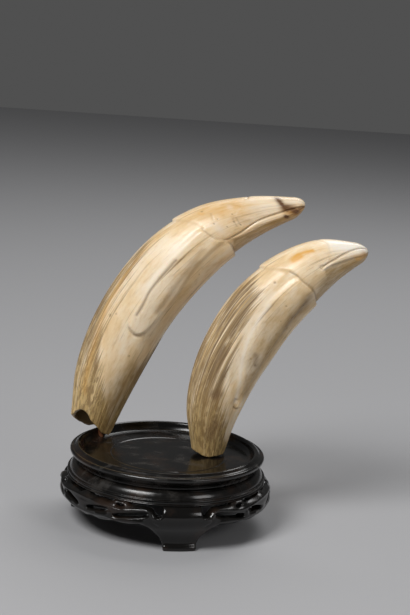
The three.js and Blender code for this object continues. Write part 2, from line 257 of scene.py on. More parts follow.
RIGHT_TOOTH["strokes"] = [
    ([(0.715, 79), (0.666, 79), (0.63, 80), (0.588, 81), (0.536, 85), (0.489, 88), (0.44, 93),
      (0.39, 100), (0.338, 110), (0.281, 122), (0.25, 127)], -0.28, 1.1, 0),
    ([(0.7, 68), (0.588, 71), (0.489, 78), (0.39, 90), (0.3, 107)], 0.3, 2.4, 0.06),
    ([(0.73, 122), (0.688, 130), (0.647, 134), (0.599, 136), (0.546, 138), (0.49, 140),
      (0.435, 142), (0.378, 142), (0.32, 144), (0.273, 147)], 0.7, 2.2, 0.3),
    ([(0.24, 127), (0.212, 129), (0.203, 138), (0.207, 152)], 0.5, 0.9, 0.3),
    ([(0.645, 0), (0.651, 10), (0.669, 32), (0.694, 46), (0.718, 62)], 0.05, 0.8, 0.08),
    ([(0.718, 62), (0.731, 75), (0.739, 90), (0.746, 102), (0.751, 114), (0.75, 128),
      (0.735, 154), (0.73, 180)], 0.45, 0.65, 0.6),
    ([(0.85, 0), (0.86, 12), (0.875, 31), (0.875, 55), (0.866, 72), (0.855, 83)],
     0.18, 0.8, 0.15),
    ([(0.818, 93), (0.815, 88), (0.82, 85), (0.828, 86)], 0.3, 0.45, 0.5),
]
print(len(LEFT_TOOTH["strokes"]), "and", len(RIGHT_TOOTH["strokes"]), "strokes")

# %% [markdown]
# ## Measuring over a bent tooth
# The strokes and the stains are drawn as if the surface were unrolled, so that their widths are
# true millimetres. The sections give the size of the tooth at each place, and these functions
# turn t and degrees into millimetres along it and round it. A distance on the unrolled sheet is
# close enough to the one over the real surface for marks as small as these.

# %% Sections of a tooth
SECTION_STEPS = 64


def tooth_section(tooth, t):
    """Middle of the section, the direction to the back and half the depth, at each t."""
    dense = rounded_line(tooth["sections"], SECTION_STEPS)
    last = len(dense) - 1
    place = np.clip(t, 0, 1) * last
    ends = np.stack([np.interp(place, np.arange(last + 1), dense[:, i]) for i in range(4)], -1)
    # The chipped rim reaches a little past t = 0, where the first step is carried on.
    ends = ends + np.minimum(t, 0)[..., None] * (dense[1] - dense[0]) * last
    back, belly = ends[..., :2], ends[..., 2:]
    middle = (back + belly) / 2
    to_back = back - middle
    half_depth = np.linalg.norm(to_back, axis=-1)
    return middle, to_back / half_depth[..., None], half_depth


for tooth in (LEFT_TOOTH, RIGHT_TOOTH):
    thickness = 2 * tooth_section(tooth, np.linspace(0, 1, 9))[2]
    print(tooth["name"], "thickness in mm:", np.round(thickness, 1))

# %% Distances over the surface of a tooth
LINE_STEPS = 6
FAR_AWAY = 1e9
SHORTEST_SPAN = 1e-9


def mm_round(tooth, t, degrees):
    """Degrees round the tooth as millimetres on its surface."""
    return degrees * tooth_section(tooth, t)[2] * math.pi / 180


def mm_past_line(tooth, line, t, side):
    """Millimetres round the tooth from a line that runs along it."""
    return mm_round(tooth, t, side - value_along(tooth[line], t))


def mm_past_ring(tooth, ring, t, side):
    """Millimetres along the tooth from a line that runs round it."""
    return (t - value_along(tooth[ring], side)) * TOOTH_LENGTH


def flat_place(tooth, t, side):
    """The surface unrolled: millimetres round the tooth and along it."""
    return np.stack([mm_round(tooth, t, side), t * TOOTH_LENGTH], -1)


def distance_to_line(places, line):
    """Distance from each place to a line of points."""
    nearest = np.full(places.shape[:-1], FAR_AWAY)
    for start, end in zip(line[:-1], line[1:]):
        along = end - start
        length = max(along @ along, SHORTEST_SPAN)
        part = np.clip(((places - start) @ along) / length, 0, 1)
        gap = places - start - part[..., None] * along
        nearest = np.minimum(nearest, np.einsum("...i,...i", gap, gap))
    return np.sqrt(nearest)


def distance_on_tooth(tooth, places, line):
    """Distance from each flat place to a line of t and degrees, in millimetres."""
    dense = rounded_line(line, LINE_STEPS)
    return distance_to_line(places, flat_place(tooth, dense[:, 0], dense[:, 1]))


quarter = mm_round(LEFT_TOOTH, np.array([0.5]), 90)[0]
print(f"a quarter turn at the middle of the left tooth is {quarter:.1f} mm")

# %% [markdown]
# ## Relief and dirt
# Each form of the carving has a function for its height, and one more adds them up and cuts the
# strokes. It also says how much dark dirt has settled, because an old carving is darkest where a
# line is deepest. The steps at the neck and the wing follow the same lines as the solids, with
# their edges worn round by handling.

# %% The step at the neck
NECK_STEP = 1.1
NECK_STEP_FADE = 14
NECK_EDGE = 0.5
NECK_EDGE_WORN = 2.4
NECK_FACE_WEAR = 0.45
HEAD_BELOW_COLLAR = 0.4
# Degrees round the tooth where each form ends or starts.
HEAD_PROUD_ENDS = (60, 125)
COLLAR_PROUD_STARTS = (90, 130)
WORN_STARTS = (10, 35)
WORN_ENDS = (60, 85)


def neck_relief(tooth, t, side):
    """Height of the step between body and head in mm, and 1 on the head and 0 on the body."""
    past_neck = mm_past_ring(tooth, "neck", t, side)
    head_proud = 1 - smooth_step(*HEAD_PROUD_ENDS, side)
    collar_proud = smooth_step(*COLLAR_PROUD_STARTS, side)
    worn = smooth_step(*WORN_STARTS, side) * (1 - smooth_step(*WORN_ENDS, side))
    edge = NECK_EDGE + (NECK_EDGE_WORN - NECK_EDGE) * worn
    on_head = smooth_step(-edge, edge, past_neck)
    head = head_proud - HEAD_BELOW_COLLAR * collar_proud
    step = on_head * head + (1 - on_head) * collar_proud
    fade = np.exp(-np.abs(past_neck) / NECK_STEP_FADE)
    return NECK_STEP * (1 - NECK_FACE_WEAR * worn) * fade * step, on_head


just_past = neck_relief(LEFT_TOOTH, np.array([0.65]), np.array([0.0]))[0][0]
print(f"the left head stands {just_past:.2f} mm proud on the back, just past the neck")

# %% The raised wing
WING_RISE = 1.3
WING_BEVEL = 1.8
WEAR = 0.9


def wing_relief(tooth, t, side):
    """Height of the folded wing in mm, with a worn bevel along its edges."""
    from_upper = mm_past_line(tooth, "wing_upper", t, side)
    from_lower = -mm_past_line(tooth, "wing_lower", t, side)
    from_tip = (t - tooth["wing_tip"]) * TOOTH_LENGTH
    inside = np.minimum(np.minimum(from_upper, from_lower), from_tip)
    return WING_RISE * smooth_step(-WEAR, WING_BEVEL + WEAR, inside)


print(f"the wing's edge is worn round over {WING_BEVEL + 2 * WEAR:.1f} mm")

# %% The mouth and the beak
MOUTH_DEPTH = 0.8
MOUTH_WIDTH = 0.55
MOUTH_DIRT = 0.5
MOUTH_OPENS = (-0.004, 0.012)
LIP_RISE = 0.25
LIP_UPPER_EDGE = (0.2, 1.2)
LIP_LOWER_EDGE = (-0.8, 0.7)
UNDER_LIP = 0.5
UNDER_LIP_EDGE = (-0.4, 0.8)
UNDER_LIP_FADE = 4
# The brown under the beak, which is partly painted shade: its strength, and in mm past the lip
# where it starts and where it is full.
BEAK_BROWN = 0.8
BEAK_BROWN_START = -0.6
BEAK_BROWN_FULL = 7
BEAK_BROWN_FULL_AT_MOUTH = 1.5
CERE_RISE = 0.12
CERE_EDGE = (-0.9, 0.7)
CERE_FADE = 10
UPPER_BEAK_ENDS = (80, 100)


def mouth_relief(tooth, t, side):
    """Height round the mouth line in mm, the dirt in it and the brown under the beak, which is
    partly painted shade.
    """
    mouth_open = smooth_step(*MOUTH_OPENS, t - tooth["mouth"][0][0])
    from_mouth = mm_past_line(tooth, "mouth", t, side)
    from_lip = mm_past_line(tooth, "lip", t, side)
    groove = mouth_open * faded(from_mouth, MOUTH_WIDTH)
    lip = smooth_step(*LIP_UPPER_EDGE, from_mouth) * (1 - smooth_step(*LIP_LOWER_EDGE, from_lip))
    below = smooth_step(*UNDER_LIP_EDGE, from_lip) * np.exp(
        -np.maximum(0, from_lip) / UNDER_LIP_FADE
    )
    height = mouth_open * (LIP_RISE * lip - UNDER_LIP * below) - MOUTH_DEPTH * groove
    # The brown under the beak, partly painted shade, comes in below the lip.
    full = BEAK_BROWN_FULL + (BEAK_BROWN_FULL_AT_MOUTH - BEAK_BROWN_FULL) * mouth_open
    brown = BEAK_BROWN * smooth_step(BEAK_BROWN_START, full, from_lip)
    return height, MOUTH_DIRT * groove, brown


def cere_relief(tooth, t, side):
    """Height of the swelling at the base of the upper beak in mm."""
    past_cere = mm_past_ring(tooth, "cere", t, side)
    on_upper_beak = 1 - smooth_step(*UPPER_BEAK_ENDS, side)
    fade = np.exp(-np.maximum(0, past_cere) / CERE_FADE)
    return CERE_RISE * on_upper_beak * smooth_step(*CERE_EDGE, past_cere) * fade


print("the mouth is cut", MOUTH_DEPTH, "mm deep under a lip", LIP_RISE, "mm high")

# %% The whole carving
DIRT_WIDTH = 0.85


def carving(tooth, t, side):
    """Height over the plain tooth in mm, and from 0 to 1 the dirt and the brown under the beak,
    which is partly painted shade.
    """
    neck, on_head = neck_relief(tooth, t, side)
    mouth, dirt, beak_brown_and_shade = mouth_relief(tooth, t, side)
    wing = wing_relief(tooth, t, side) * (1 - on_head)
    height = neck + wing + mouth + cere_relief(tooth, t, side)
    places = flat_place(tooth, t, side)
    for line, depth, half_width, settled in tooth["strokes"]:
        gap = distance_on_tooth(tooth, places, line)
        height -= depth * faded(gap, half_width)
        dirt = np.maximum(dirt, settled * faded(gap, DIRT_WIDTH * half_width))
    return height, dirt, beak_brown_and_shade * on_head


sample_t, sample_side = np.meshgrid(np.linspace(0, 1, 90), np.linspace(0, 180, 90))
for tooth in (LEFT_TOOTH, RIGHT_TOOTH):
    height = carving(tooth, sample_t, sample_side)[0]
    print(tooth["name"], f"is carved from {height.min():.2f} to {height.max():.2f} mm")

# %% [markdown]
# ## Ridges, stains, painted shade and painted highlight, and specks
# The outside of a sperm whale tooth is a thin brown coat with long parallel ridges. The carver
# polished it away on the sides of the bird and left it on the back and round the root. A mask
# says where the coat is left, and fine lengthwise ridges are raised there. Age has added brown
# and orange stains and a few specks, and some tan on the head and the root. Painted shade
# darkens the belly side of the root, the lower side of the wing and the throat under the beak,
# and painted highlight lightens the top of each beak and the wing's upper ridge. Each lies at its
# own place, so they are drawn like the strokes and not left to noise.

# %% Where the coat is left
# The lines are (t, degrees) and the end is the stretch of t over which the coat stops.
LEFT_TOOTH["coat_back"] = [(0, 150), (0.1, 104), (0.175, 80), (0.226, 62), (0.271, 46),
                           (0.32, 36), (0.44, 31), (0.55, 26), (0.64, 20), (0.7, 10), (1, -40)]
LEFT_TOOTH["coat_belly"] = [(0, 134), (0.133, 139), (0.24, 148), (0.3, 154), (0.36, 172),
                            (0.45, 195), (1, 220)]
RIGHT_TOOTH["coat_back"] = [(0, 172), (0.1, 128), (0.225, 102), (0.281, 92), (0.35, 82),
                            (0.4, 75), (0.455, 70), (0.51, 66), (0.574, 60), (0.64, 52),
                            (0.7, 40), (1, -40)]
RIGHT_TOOTH["coat_belly"] = [(0, 150), (0.06, 165), (0.14, 190), (1, 220)]
LEFT_TOOTH["coat_end"] = (0.5, 0.64)
RIGHT_TOOTH["coat_end"] = (0.56, 0.67)
print("the coat stops at t =", LEFT_TOOTH["coat_end"][1], "and", RIGHT_TOOTH["coat_end"][1])

# %% Stains, painted shade, painted highlight and specks of the left tooth
# Stains, painted shade and painted highlight each give their line as (t, degrees), their half
# width in mm and their strength. Each speck: its t, its degrees and its radius in mm.
# The shade layer: darker brown on the belly side of the root and on the lower side of the wing,
# partly painted shade, and real tan mottle on the head.
LEFT_TOOTH["shade"] = [
    ([(0, 114), (0.08, 121), (0.16, 130), (0.22, 142)], 7, 0.8),
    ([(0.65, 128), (0.5, 134), (0.35, 138)], 6, 0.25),
    ([(0.74, 40), (0.79, 50), (0.83, 54)], 9, 0.2),
    ([(0.79, 70), (0.81, 84), (0.83, 92)], 2.2, 0.35),
    ([(0.755, 52), (0.765, 58)], 1.6, 0.35),
    ([(0.775, 30), (0.8, 34), (0.815, 42)], 2, 0.35),
]
LEFT_TOOTH["brown"] = [
    ([(0.922, 24), (0.93, 48), (0.938, 69), (0.946, 84)], 1.6, 1.0),
    ([(0.94, 72), (0.958, 82), (0.973, 100)], 2.5, 1.0),
    ([(0.98, 88), (0.996, 84)], 1.3, 0.9),
    ([(0.941, 114), (0.943, 116)], 1.2, 1.5),
    ([(0.62, 105), (0.56, 108), (0.5, 112), (0.45, 114)], 2.6, 0.2),
]
LEFT_TOOTH["orange"] = [
    ([(0.77, 38), (0.768, 46), (0.76, 56)], 2.4, 0.4),
    ([(0.706, 32), (0.715, 37)], 1.6, 0.45),
    ([(0.68, 24), (0.72, 52), (0.76, 72)], 6, 0.18),
    ([(0.74, 26), (0.77, 36), (0.8, 42)], 9, 0.34),
    ([(0.945, 84), (0.965, 102), (0.99, 98)], 2.4, 0.8),
    ([(0.1, 58), (0.22, 50), (0.34, 36), (0.48, 28), (0.58, 22)], 2, 0.35),
]
# Painted highlight: pale cream on the top of the beak, along the wing's upper ridge and on a few
# small spots of the head near the neck.
LEFT_TOOTH["pale_and_painted_highlight"] = [
    ([(0.86, 30), (0.93, 30), (1, 40)], 4, 0.35),
    ([(0.86, 62), (0.9, 62), (0.93, 62)], 4, 0.3),
    ([(0.792, 38), (0.792, 44)], 1.6, 0.6),
    ([(0.733, 74), (0.737, 84)], 2.4, 0.5),
    ([(0.67, 66), (0.585, 70), (0.5, 76), (0.44, 79)], 2.2, 0.35),
]
LEFT_TOOTH["specks"] = [(0.268, 113, 0.7), (0.334, 51, 1.1), (0.73, 68, 0.6), (0.79, 62, 0.5),
                        (0.76, 84, 0.5), (0.61, 128, 0.5), (0.35, 60, 0.5), (0.715, 30, 0.7),
                        (0.745, 62, 0.5), (0.785, 80, 0.6), (0.8, 92, 0.5)]
print(len(LEFT_TOOTH["specks"]), "specks")

# %% Stains, painted shade, painted highlight and specks of the right tooth
# The shade layer: painted shade along the wing's lower groove and partly over the lower side of
# the wing, and real darker tan on the root.
RIGHT_TOOTH["shade"] = [
    ([(0.71, 126), (0.62, 129), (0.5, 133), (0.4, 136), (0.28, 140)], 6, 0.8),
    ([(0.6, 104), (0.5, 112), (0.4, 122)], 8, 0.45),
    ([(0, 80), (0.1, 84), (0.17, 90)], 13, 0.42),
]
RIGHT_TOOTH["brown"] = [
    ([(0.7, 128), (0.64, 128), (0.58, 130)], 2.2, 0.35),
    ([(0.435, 114), (0.42, 119), (0.4, 124)], 1.8, 0.4),
    ([(0.225, 84), (0.24, 90)], 2.4, 0.5),
    ([(0.07, 94), (0.13, 104)], 3.2, 0.45),
    ([(0.86, 100), (0.92, 100), (0.985, 97)], 1.2, 0.25),
]
RIGHT_TOOTH["orange"] = [
    ([(0.772, 42), (0.763, 43), (0.75, 45)], 2.2, 1.3),
    ([(0.775, 41), (0.79, 40), (0.82, 43)], 1.2, 0.9),
    ([(0.95, 104), (0.985, 102)], 1.5, 0.7),
]
# Painted highlight on the top of the beak and along the wing's upper ridge.
RIGHT_TOOTH["pale_and_painted_highlight"] = [
    ([(0.9, 36), (0.95, 42), (1, 52)], 5, 1.1),
    ([(0.6, 82), (0.49, 88), (0.39, 100), (0.3, 118), (0.23, 128)], 1.0, 0.55),
]
RIGHT_TOOTH["specks"] = [(0.659, 60, 0.9), (0.689, 128, 1.1), (0.642, 102, 0.6), (0.4, 123, 0.9),
                         (0.413, 110, 0.6), (0.305, 88, 0.7), (0.591, 113, 0.5),
                         (0.416, 72, 0.6)]
print(len(RIGHT_TOOTH["specks"]), "specks")

# %% Masks for the coat, the stains, the painted shade and highlight, and the specks
# Degrees on either side of a line over which the coat ends.
COAT_BACK_EDGE = (-14, 22)
COAT_BELLY_EDGE = (-16, 16)
RUBBED_BACK = 0.55
RUBBED_BACK_DEGREES = 14
SPECK_CORE = 0.3
SPECK_EDGE = 1.1
SEED_SHIFT = (17.3, 5.1, 9.7)


def coat_mask(tooth, t, side):
    """1 where the natural brown coat is left, 0 where the tooth is polished."""
    on_back = 1 - smooth_step(*COAT_BACK_EDGE, side - value_along(tooth["coat_back"], t))
    on_belly = smooth_step(*COAT_BELLY_EDGE, side - value_along(tooth["coat_belly"], t))
    rubbed = RUBBED_BACK * faded(side, RUBBED_BACK_DEGREES)
    left = np.maximum(on_back * (1 - rubbed), on_belly)
    return left * (1 - smooth_step(*tooth["coat_end"], t))


def stain_and_painted_light_mask(tooth, places, stains_and_painted_light):
    """Strength of a list of stain, painted shade and painted highlight lines at each flat place.
    """
    mask = np.zeros(places.shape[:-1])
    for line, half_width, strength in stains_and_painted_light:
        gap = distance_on_tooth(tooth, places, line)
        mask = np.maximum(mask, strength * faded(gap, half_width))
    return mask


def speck_mask(tooth, places):
    """1 inside each speck, with a soft edge."""
    mask = np.zeros(places.shape[:-1])
    for t, side, radius in tooth["specks"]:
        middle = flat_place(tooth, np.array(t), np.array(side))
        gap = np.linalg.norm(places - middle, axis=-1)
        mask = np.maximum(mask, 1 - smooth_step(SPECK_CORE * radius, SPECK_EDGE * radius, gap))
    return mask


def noise_at(points, seed):
    """Smooth noise from -1 to 1 at each row of points."""
    shift = Vector([seed * part for part in SEED_SHIFT])
    rows = points.reshape(-1, 3)
    return np.array([noise.noise(Vector(row) + shift) for row in rows]).reshape(points.shape[:-1])


for tooth in (LEFT_TOOTH, RIGHT_TOOTH):
    left_over = coat_mask(tooth, sample_t, sample_side).mean()
    print(tooth["name"], f"keeps its coat on {left_over:.0%} of its side")

# %% [markdown]
# ## Building the tooth's mesh
# The mesh is one closed skin of rings. It starts deep in the pulp hollow, comes out over the
# broken rim of the root and runs up to the tip. Values for the material, such as dirt and coat,
# are stored on the points.

# %% Rings of points
def grain_place(degrees, t):
    """Round and along the tooth as a place in space, which has no seam."""
    angle = np.radians(degrees)
    return np.stack([np.cos(angle), np.sin(angle), t], -1)


def ring_points(tooth, t, degrees, depth, breadth):
    """Points of oval rings with the given half depth and half breadth."""
    middle, to_back, _ = tooth_section(tooth, t)
    angle = np.radians(degrees)
    flat = middle + to_back * (depth * np.cos(angle))[..., None]
    return np.stack([flat[..., 0], tooth["plane_y"] - breadth * np.sin(angle), flat[..., 1]], -1)


def hollow_points(tooth, t, degrees, part):
    """Points of the pulp hollow's wall, which closes as part goes from 0 to 1."""
    taper = np.sqrt(1 - part)
    half_depth = tooth_section(tooth, t)[2]
    depth = (half_depth - WALL_AT_RIM) * taper
    breadth = (half_depth * SIDE_TO_SIDE - WALL_AT_RIM) * taper
    return ring_points(tooth, t, degrees, depth, breadth)


back_of_rim = ring_points(LEFT_TOOTH, np.array([0.0]), np.array([0.0]), 1.0, 1.0)[0]
print("a ring starts on the back, at", np.round(back_of_rim, 1), "for a radius of 1 mm")

# %% The carved outside
COARSE_RIDGE_SEED, FINE_RIDGE_SEED, LUMP_SEED, CHIP_SEED, SMALL_CHIP_SEED = range(1, 6)
# Noise scales go twice round the tooth and once along it.
COARSE_RIDGE_SCALE = (12, 12, 4)
FINE_RIDGE_SCALE = (26, 26, 7)
LUMP_SCALE = (2.2, 2.2, 7)
COARSE_RIDGE_SHARE = 0.6
RIDGE_HEIGHT = 0.2
LUMP_HEIGHT = 0.25
SPECK_DEPTH = 0.12
# Stored layers: brown and orange stains, a shade layer that is partly painted shade, and pale
# patches that are painted highlight.
STAIN_AND_PAINTED_LIGHT_NAMES = ("shade", "brown", "orange", "pale_and_painted_highlight")
VALUE_NAMES = ("dirt", "coat", "ridges", "specks", *STAIN_AND_PAINTED_LIGHT_NAMES)


def crests(grain, scale, seed):
    """Sharp crests from -1 to 1, where a noise passes through its middle."""
    return 1 - 2 * np.abs(noise_at(grain * scale, seed))


def outside_points(tooth, t, degrees):
    """Points of the carved outside, and the values stored on them."""
    side = np.where(degrees > 180, 360 - degrees, degrees)
    height, dirt, beak_brown_and_shade = carving(tooth, t, side)
    places = flat_place(tooth, t, side)
    grain = grain_place(degrees, t)
    coarse = crests(grain, COARSE_RIDGE_SCALE, COARSE_RIDGE_SEED)
    fine = crests(grain, FINE_RIDGE_SCALE, FINE_RIDGE_SEED)
    values = {key: stain_and_painted_light_mask(tooth, places, tooth[key]) for key in STAIN_AND_PAINTED_LIGHT_NAMES}
    # The brown under the beak, partly painted shade, joins the shade layer.
    values["shade"] = np.maximum(values["shade"], beak_brown_and_shade)
    values["dirt"] = dirt
    values["coat"] = coat_mask(tooth, t, side)
    values["ridges"] = COARSE_RIDGE_SHARE * coarse + (1 - COARSE_RIDGE_SHARE) * fine
    values["specks"] = speck_mask(tooth, places)
    height += RIDGE_HEIGHT * values["coat"] * values["ridges"]
    height += LUMP_HEIGHT * noise_at(grain * LUMP_SCALE, LUMP_SEED)
    height -= SPECK_DEPTH * values["specks"]
    past = np.clip((t - TIP_ROUND_FROM) / (1 - TIP_ROUND_FROM), 0, 1)
    rounding = np.sqrt(1 - past**2)
    half_depth = tooth_section(tooth, t)[2]
    depth = (half_depth + height) * rounding
    breadth = (half_depth * SIDE_TO_SIDE + height) * rounding
    return ring_points(tooth, t, degrees, depth, breadth), values


print("values stored on the points:", ", ".join(VALUE_NAMES))

# %% One closed skin
def closed_skin(name, first, rings, last):
    """A closed mesh from an end point, a stack of rings and another end point."""
    rows, around = rings.shape[:2]
    points = np.vstack([first, rings.reshape(-1, 3), last])
    index = 1 + np.arange(rows * around).reshape(rows, around)
    after = np.roll(index, -1, axis=1)
    quads = np.stack([index[:-1], after[:-1], after[1:], index[1:]], -1).reshape(-1, 4)
    first_fan = np.stack([np.zeros(around, int), after[0], index[0]], -1)
    last_fan = np.stack([index[-1], after[-1], np.full(around, len(points) - 1)], -1)
    faces = quads.tolist() + first_fan.tolist() + last_fan.tolist()
    mesh = bpy.data.meshes.new(name)
    mesh.from_pydata(in_metres(points).tolist(), [], faces)
    mesh.shade_smooth()
    return mesh


def store_values(mesh, name, values, kind="FLOAT", field="value"):
    """Stores one number or vector on each point, for the material to read."""
    layer = mesh.attributes.new(name, kind, "POINT")
    layer.data.foreach_set(field, np.asarray(values, np.float32).ravel())


def middle_of(tooth, t):
    """The middle of the section at one t."""
    x, z = tooth_section(tooth, np.array([t]))[0][0]
    return np.array([[x, tooth["plane_y"], z]])

# %% Both teeth
AROUND = 236
OUTER_ROWS = 372
PULP_ROWS = 30
# Each layer of chips: how far it moves the rim in t, its noise scale and its seed.
CHIPS = ((0.0025, 4, CHIP_SEED), (0.0015, 11, SMALL_CHIP_SEED))
HOLLOW_CLOSED = 0.985
TIP_CROWDING = 0.45


def chipped_rim(tooth, degrees):
    """Where the broken rim lies along the tooth: the drawn line and small random chips."""
    circle = grain_place(degrees, np.zeros(len(degrees)))
    rim = value_along(tooth["rim"], degrees)
    for size, scale, seed in CHIPS:
        rim = rim + size * noise_at(circle * scale, seed)
    return rim


def build_tooth(tooth):
    """One tooth as a closed skin that runs from deep in the hollow, over the rim, to the tip."""
    degrees = np.arange(AROUND) * 360 / AROUND
    rim = chipped_rim(tooth, degrees)
    hollow_part = np.linspace(HOLLOW_CLOSED, 0, PULP_ROWS)[:, None]
    hollow_t = rim + (PULP_DEPTH - rim) * hollow_part
    even = np.linspace(0, 1, OUTER_ROWS)[:-1, None]
    outer_part = (1 - TIP_CROWDING) * even + TIP_CROWDING * np.sin(even * math.pi / 2)
    outer_t = rim + (1 - rim) * outer_part
    hollow_turn = np.broadcast_to(degrees, hollow_t.shape)
    outer_turn = np.broadcast_to(degrees, outer_t.shape)
    inner = hollow_points(tooth, hollow_t, hollow_turn, hollow_part)
    outer, values = outside_points(tooth, outer_t, outer_turn)
    mesh = closed_skin(tooth["name"] + "_carved", middle_of(tooth, PULP_DEPTH),
                       np.vstack([inner, outer]), middle_of(tooth, 1.0))
    inside = 1 + hollow_t.size
    for key in VALUE_NAMES:
        store_values(mesh, key, np.concatenate([np.zeros(inside), values[key].ravel(), [0]]))
    store_values(mesh, "hollow", np.concatenate([np.ones(inside), np.zeros(outer_t.size + 1)]))
    along = np.concatenate([[PULP_DEPTH], hollow_t.ravel(), outer_t.ravel(), [1]])
    turn = np.concatenate([[0], hollow_turn.ravel(), outer_turn.ravel(), [0]])
    store_values(mesh, "grain", grain_place(turn, along), "FLOAT_VECTOR", "vector")
    print(mesh.name, len(mesh.vertices), "points")
    return new_object(mesh.name, mesh)


left_tooth = build_tooth(LEFT_TOOTH)
right_tooth = build_tooth(RIGHT_TOOTH)

# %% [markdown]
# ## Effects that several materials share
# Ivory, wood and lacquer are all aged in the same two ways: thin dark lines that run along the
# grain, and soft-edged patches where something has worn or settled. Each effect is a shader node
# group, built once and used with its own numbers in every material. A line is drawn where a
# stretched noise passes through its middle value, which gives long threads that join and part.

# %% Nodes and their inputs
def new_material(name):
    """A material with a Principled BSDF, and that shader."""
    material = bpy.data.materials.new(name)
    material.use_nodes = True
    nodes = material.node_tree.nodes
    nodes.clear()
    shader = nodes.new("ShaderNodeBsdfPrincipled")
    output = nodes.new("ShaderNodeOutputMaterial")
    material.node_tree.links.new(shader.outputs["BSDF"], output.inputs["Surface"])
    return material, shader


def feed(tree, socket, value):
    """Sets a socket to a number or a tuple, or links another socket to it."""
    if isinstance(value, (int, float)):
        socket.default_value = value
    elif isinstance(value, tuple):
        socket.default_value = value if len(value) == len(socket.default_value) else (*value, 1)
    else:
        tree.links.new(value, socket)


def new_node(tree, kind, inputs):
    """A new node, with its inputs given by name or by number."""
    node = tree.nodes.new(kind)
    for key, value in inputs.items():
        feed(tree, node.inputs[key], value)
    return node


def math_node(tree, operation, *values, clamp=False):
    """The result of a sum on numbers or sockets."""
    node = new_node(tree, "ShaderNodeMath", dict(enumerate(values)))
    node.operation = operation
    node.use_clamp = clamp
    return node.outputs[0]


def scaled(tree, value, factor, offset=0.0):
    """A value times a factor, plus an offset."""
    return math_node(tree, "MULTIPLY_ADD", value, factor, offset)


def vector_node(tree, operation, *values):
    """The result of a sum on vectors."""
    node = new_node(tree, "ShaderNodeVectorMath", dict(enumerate(values)))
    node.operation = operation
    return node.outputs["Vector"]


def split_vector(tree, vector):
    """The X, Y and Z of a vector."""
    return new_node(tree, "ShaderNodeSeparateXYZ", {"Vector": vector}).outputs

# %% Nodes for colours, masks and noise
def mix_colours(tree, factor, first, second):
    """The first colour where the factor is 0 and the second where it is 1."""
    node = new_node(tree, "ShaderNodeMix", {"Factor": factor})
    node.data_type = "RGBA"
    colours = [socket for socket in node.inputs if socket.type == "RGBA"]
    feed(tree, colours[0], first)
    feed(tree, colours[1], second)
    return next(socket for socket in node.outputs if socket.type == "RGBA")


def layered(tree, base, *layers):
    """A colour with others laid over it, each one as a mask, an amount and a colour."""
    for mask, amount, colour in layers:
        base = mix_colours(tree, scaled(tree, mask, amount), base, colour)
    return base


def read_value(tree, name, output="Fac"):
    """A value that is stored on the points of the mesh."""
    node = tree.nodes.new("ShaderNodeAttribute")
    node.attribute_name = name
    return node.outputs[output]


def map_range(tree, value, from_low, from_high, to_low=0.0, to_high=1.0):
    """A smooth ramp between two levels of a value."""
    node = new_node(tree, "ShaderNodeMapRange",
                    {"Value": value, "From Min": from_low, "From Max": from_high,
                     "To Min": to_low, "To Max": to_high})
    node.interpolation_type = "SMOOTHSTEP"
    return node.outputs["Result"]


def noise_node(tree, vector, scale, detail=4.0, roughness=0.6):
    """Noise on a vector that is scaled by one number or by three."""
    if isinstance(scale, tuple):
        vector = vector_node(tree, "MULTIPLY", vector, scale)
        scale = 1.0
    node = new_node(tree, "ShaderNodeTexNoise", {"Vector": vector, "Scale": scale,
                                                 "Detail": detail, "Roughness": roughness})
    return node.outputs["Fac"]


def bump_normal(tree, height, distance, strength=1.0):
    """A normal that is tilted by a height, as if the surface rose by the distance."""
    node = new_node(tree, "ShaderNodeBump",
                    {"Height": height, "Distance": distance, "Strength": strength})
    return node.outputs["Normal"]

# %% Thin lines along the grain, and soft patches
# Scale, detail and roughness of the noise behind each effect.
LINE_NOISE = (1, 2.5, 0.5)
PATCH_NOISE = (1, 5, 0.62)
NOISE_MIDDLE = 0.5


def new_effect(name, inputs, output):
    """An empty shader node group with the named inputs and one output."""
    tree = bpy.data.node_groups.new(name, "ShaderNodeTree")
    for label, kind in inputs:
        tree.interface.new_socket(label, in_out="INPUT", socket_type="NodeSocket" + kind)
    tree.interface.new_socket(output, in_out="OUTPUT", socket_type="NodeSocketFloat")
    return tree, tree.nodes.new("NodeGroupInput").outputs, tree.nodes.new("NodeGroupOutput").inputs


def grain_lines_effect():
    """Thin lines where a stretched noise passes through its middle value."""
    tree, given, out = new_effect(
        "grain_lines", [("Place", "Vector"), ("Scale", "Vector"), ("Width", "Float")], "Lines")
    stretched = vector_node(tree, "MULTIPLY", given["Place"], given["Scale"])
    waves = noise_node(tree, stretched, *LINE_NOISE)
    from_middle = math_node(tree, "SUBTRACT", waves, NOISE_MIDDLE)
    from_middle = math_node(tree, "ABSOLUTE", from_middle)
    feed(tree, out["Lines"], map_range(tree, from_middle, 0, given["Width"], 1, 0))
    return tree


def soft_patches_effect():
    """Patches where a noise rises from the bare level to the full one."""
    tree, given, out = new_effect(
        "soft_patches", [("Place", "Vector"), ("Scale", "Vector"), ("Bare Level", "Float"),
                         ("Full Level", "Float")], "Patches")
    stretched = vector_node(tree, "MULTIPLY", given["Place"], given["Scale"])
    clouds = noise_node(tree, stretched, *PATCH_NOISE)
    feed(tree, out["Patches"], map_range(tree, clouds, given["Bare Level"], given["Full Level"]))
    return tree


EFFECTS = {"lines": grain_lines_effect(), "patches": soft_patches_effect()}


def use_effect(tree, effect, *values):
    """The output of a shared effect with the given inputs, in the order of its sockets."""
    node = tree.nodes.new("ShaderNodeGroup")
    node.node_tree = EFFECTS[effect]
    for socket, value in zip(node.inputs, values):
        feed(tree, socket, value)
    return node.outputs[0]


print("shared effects:", ", ".join(tree.name for tree in EFFECTS.values()))

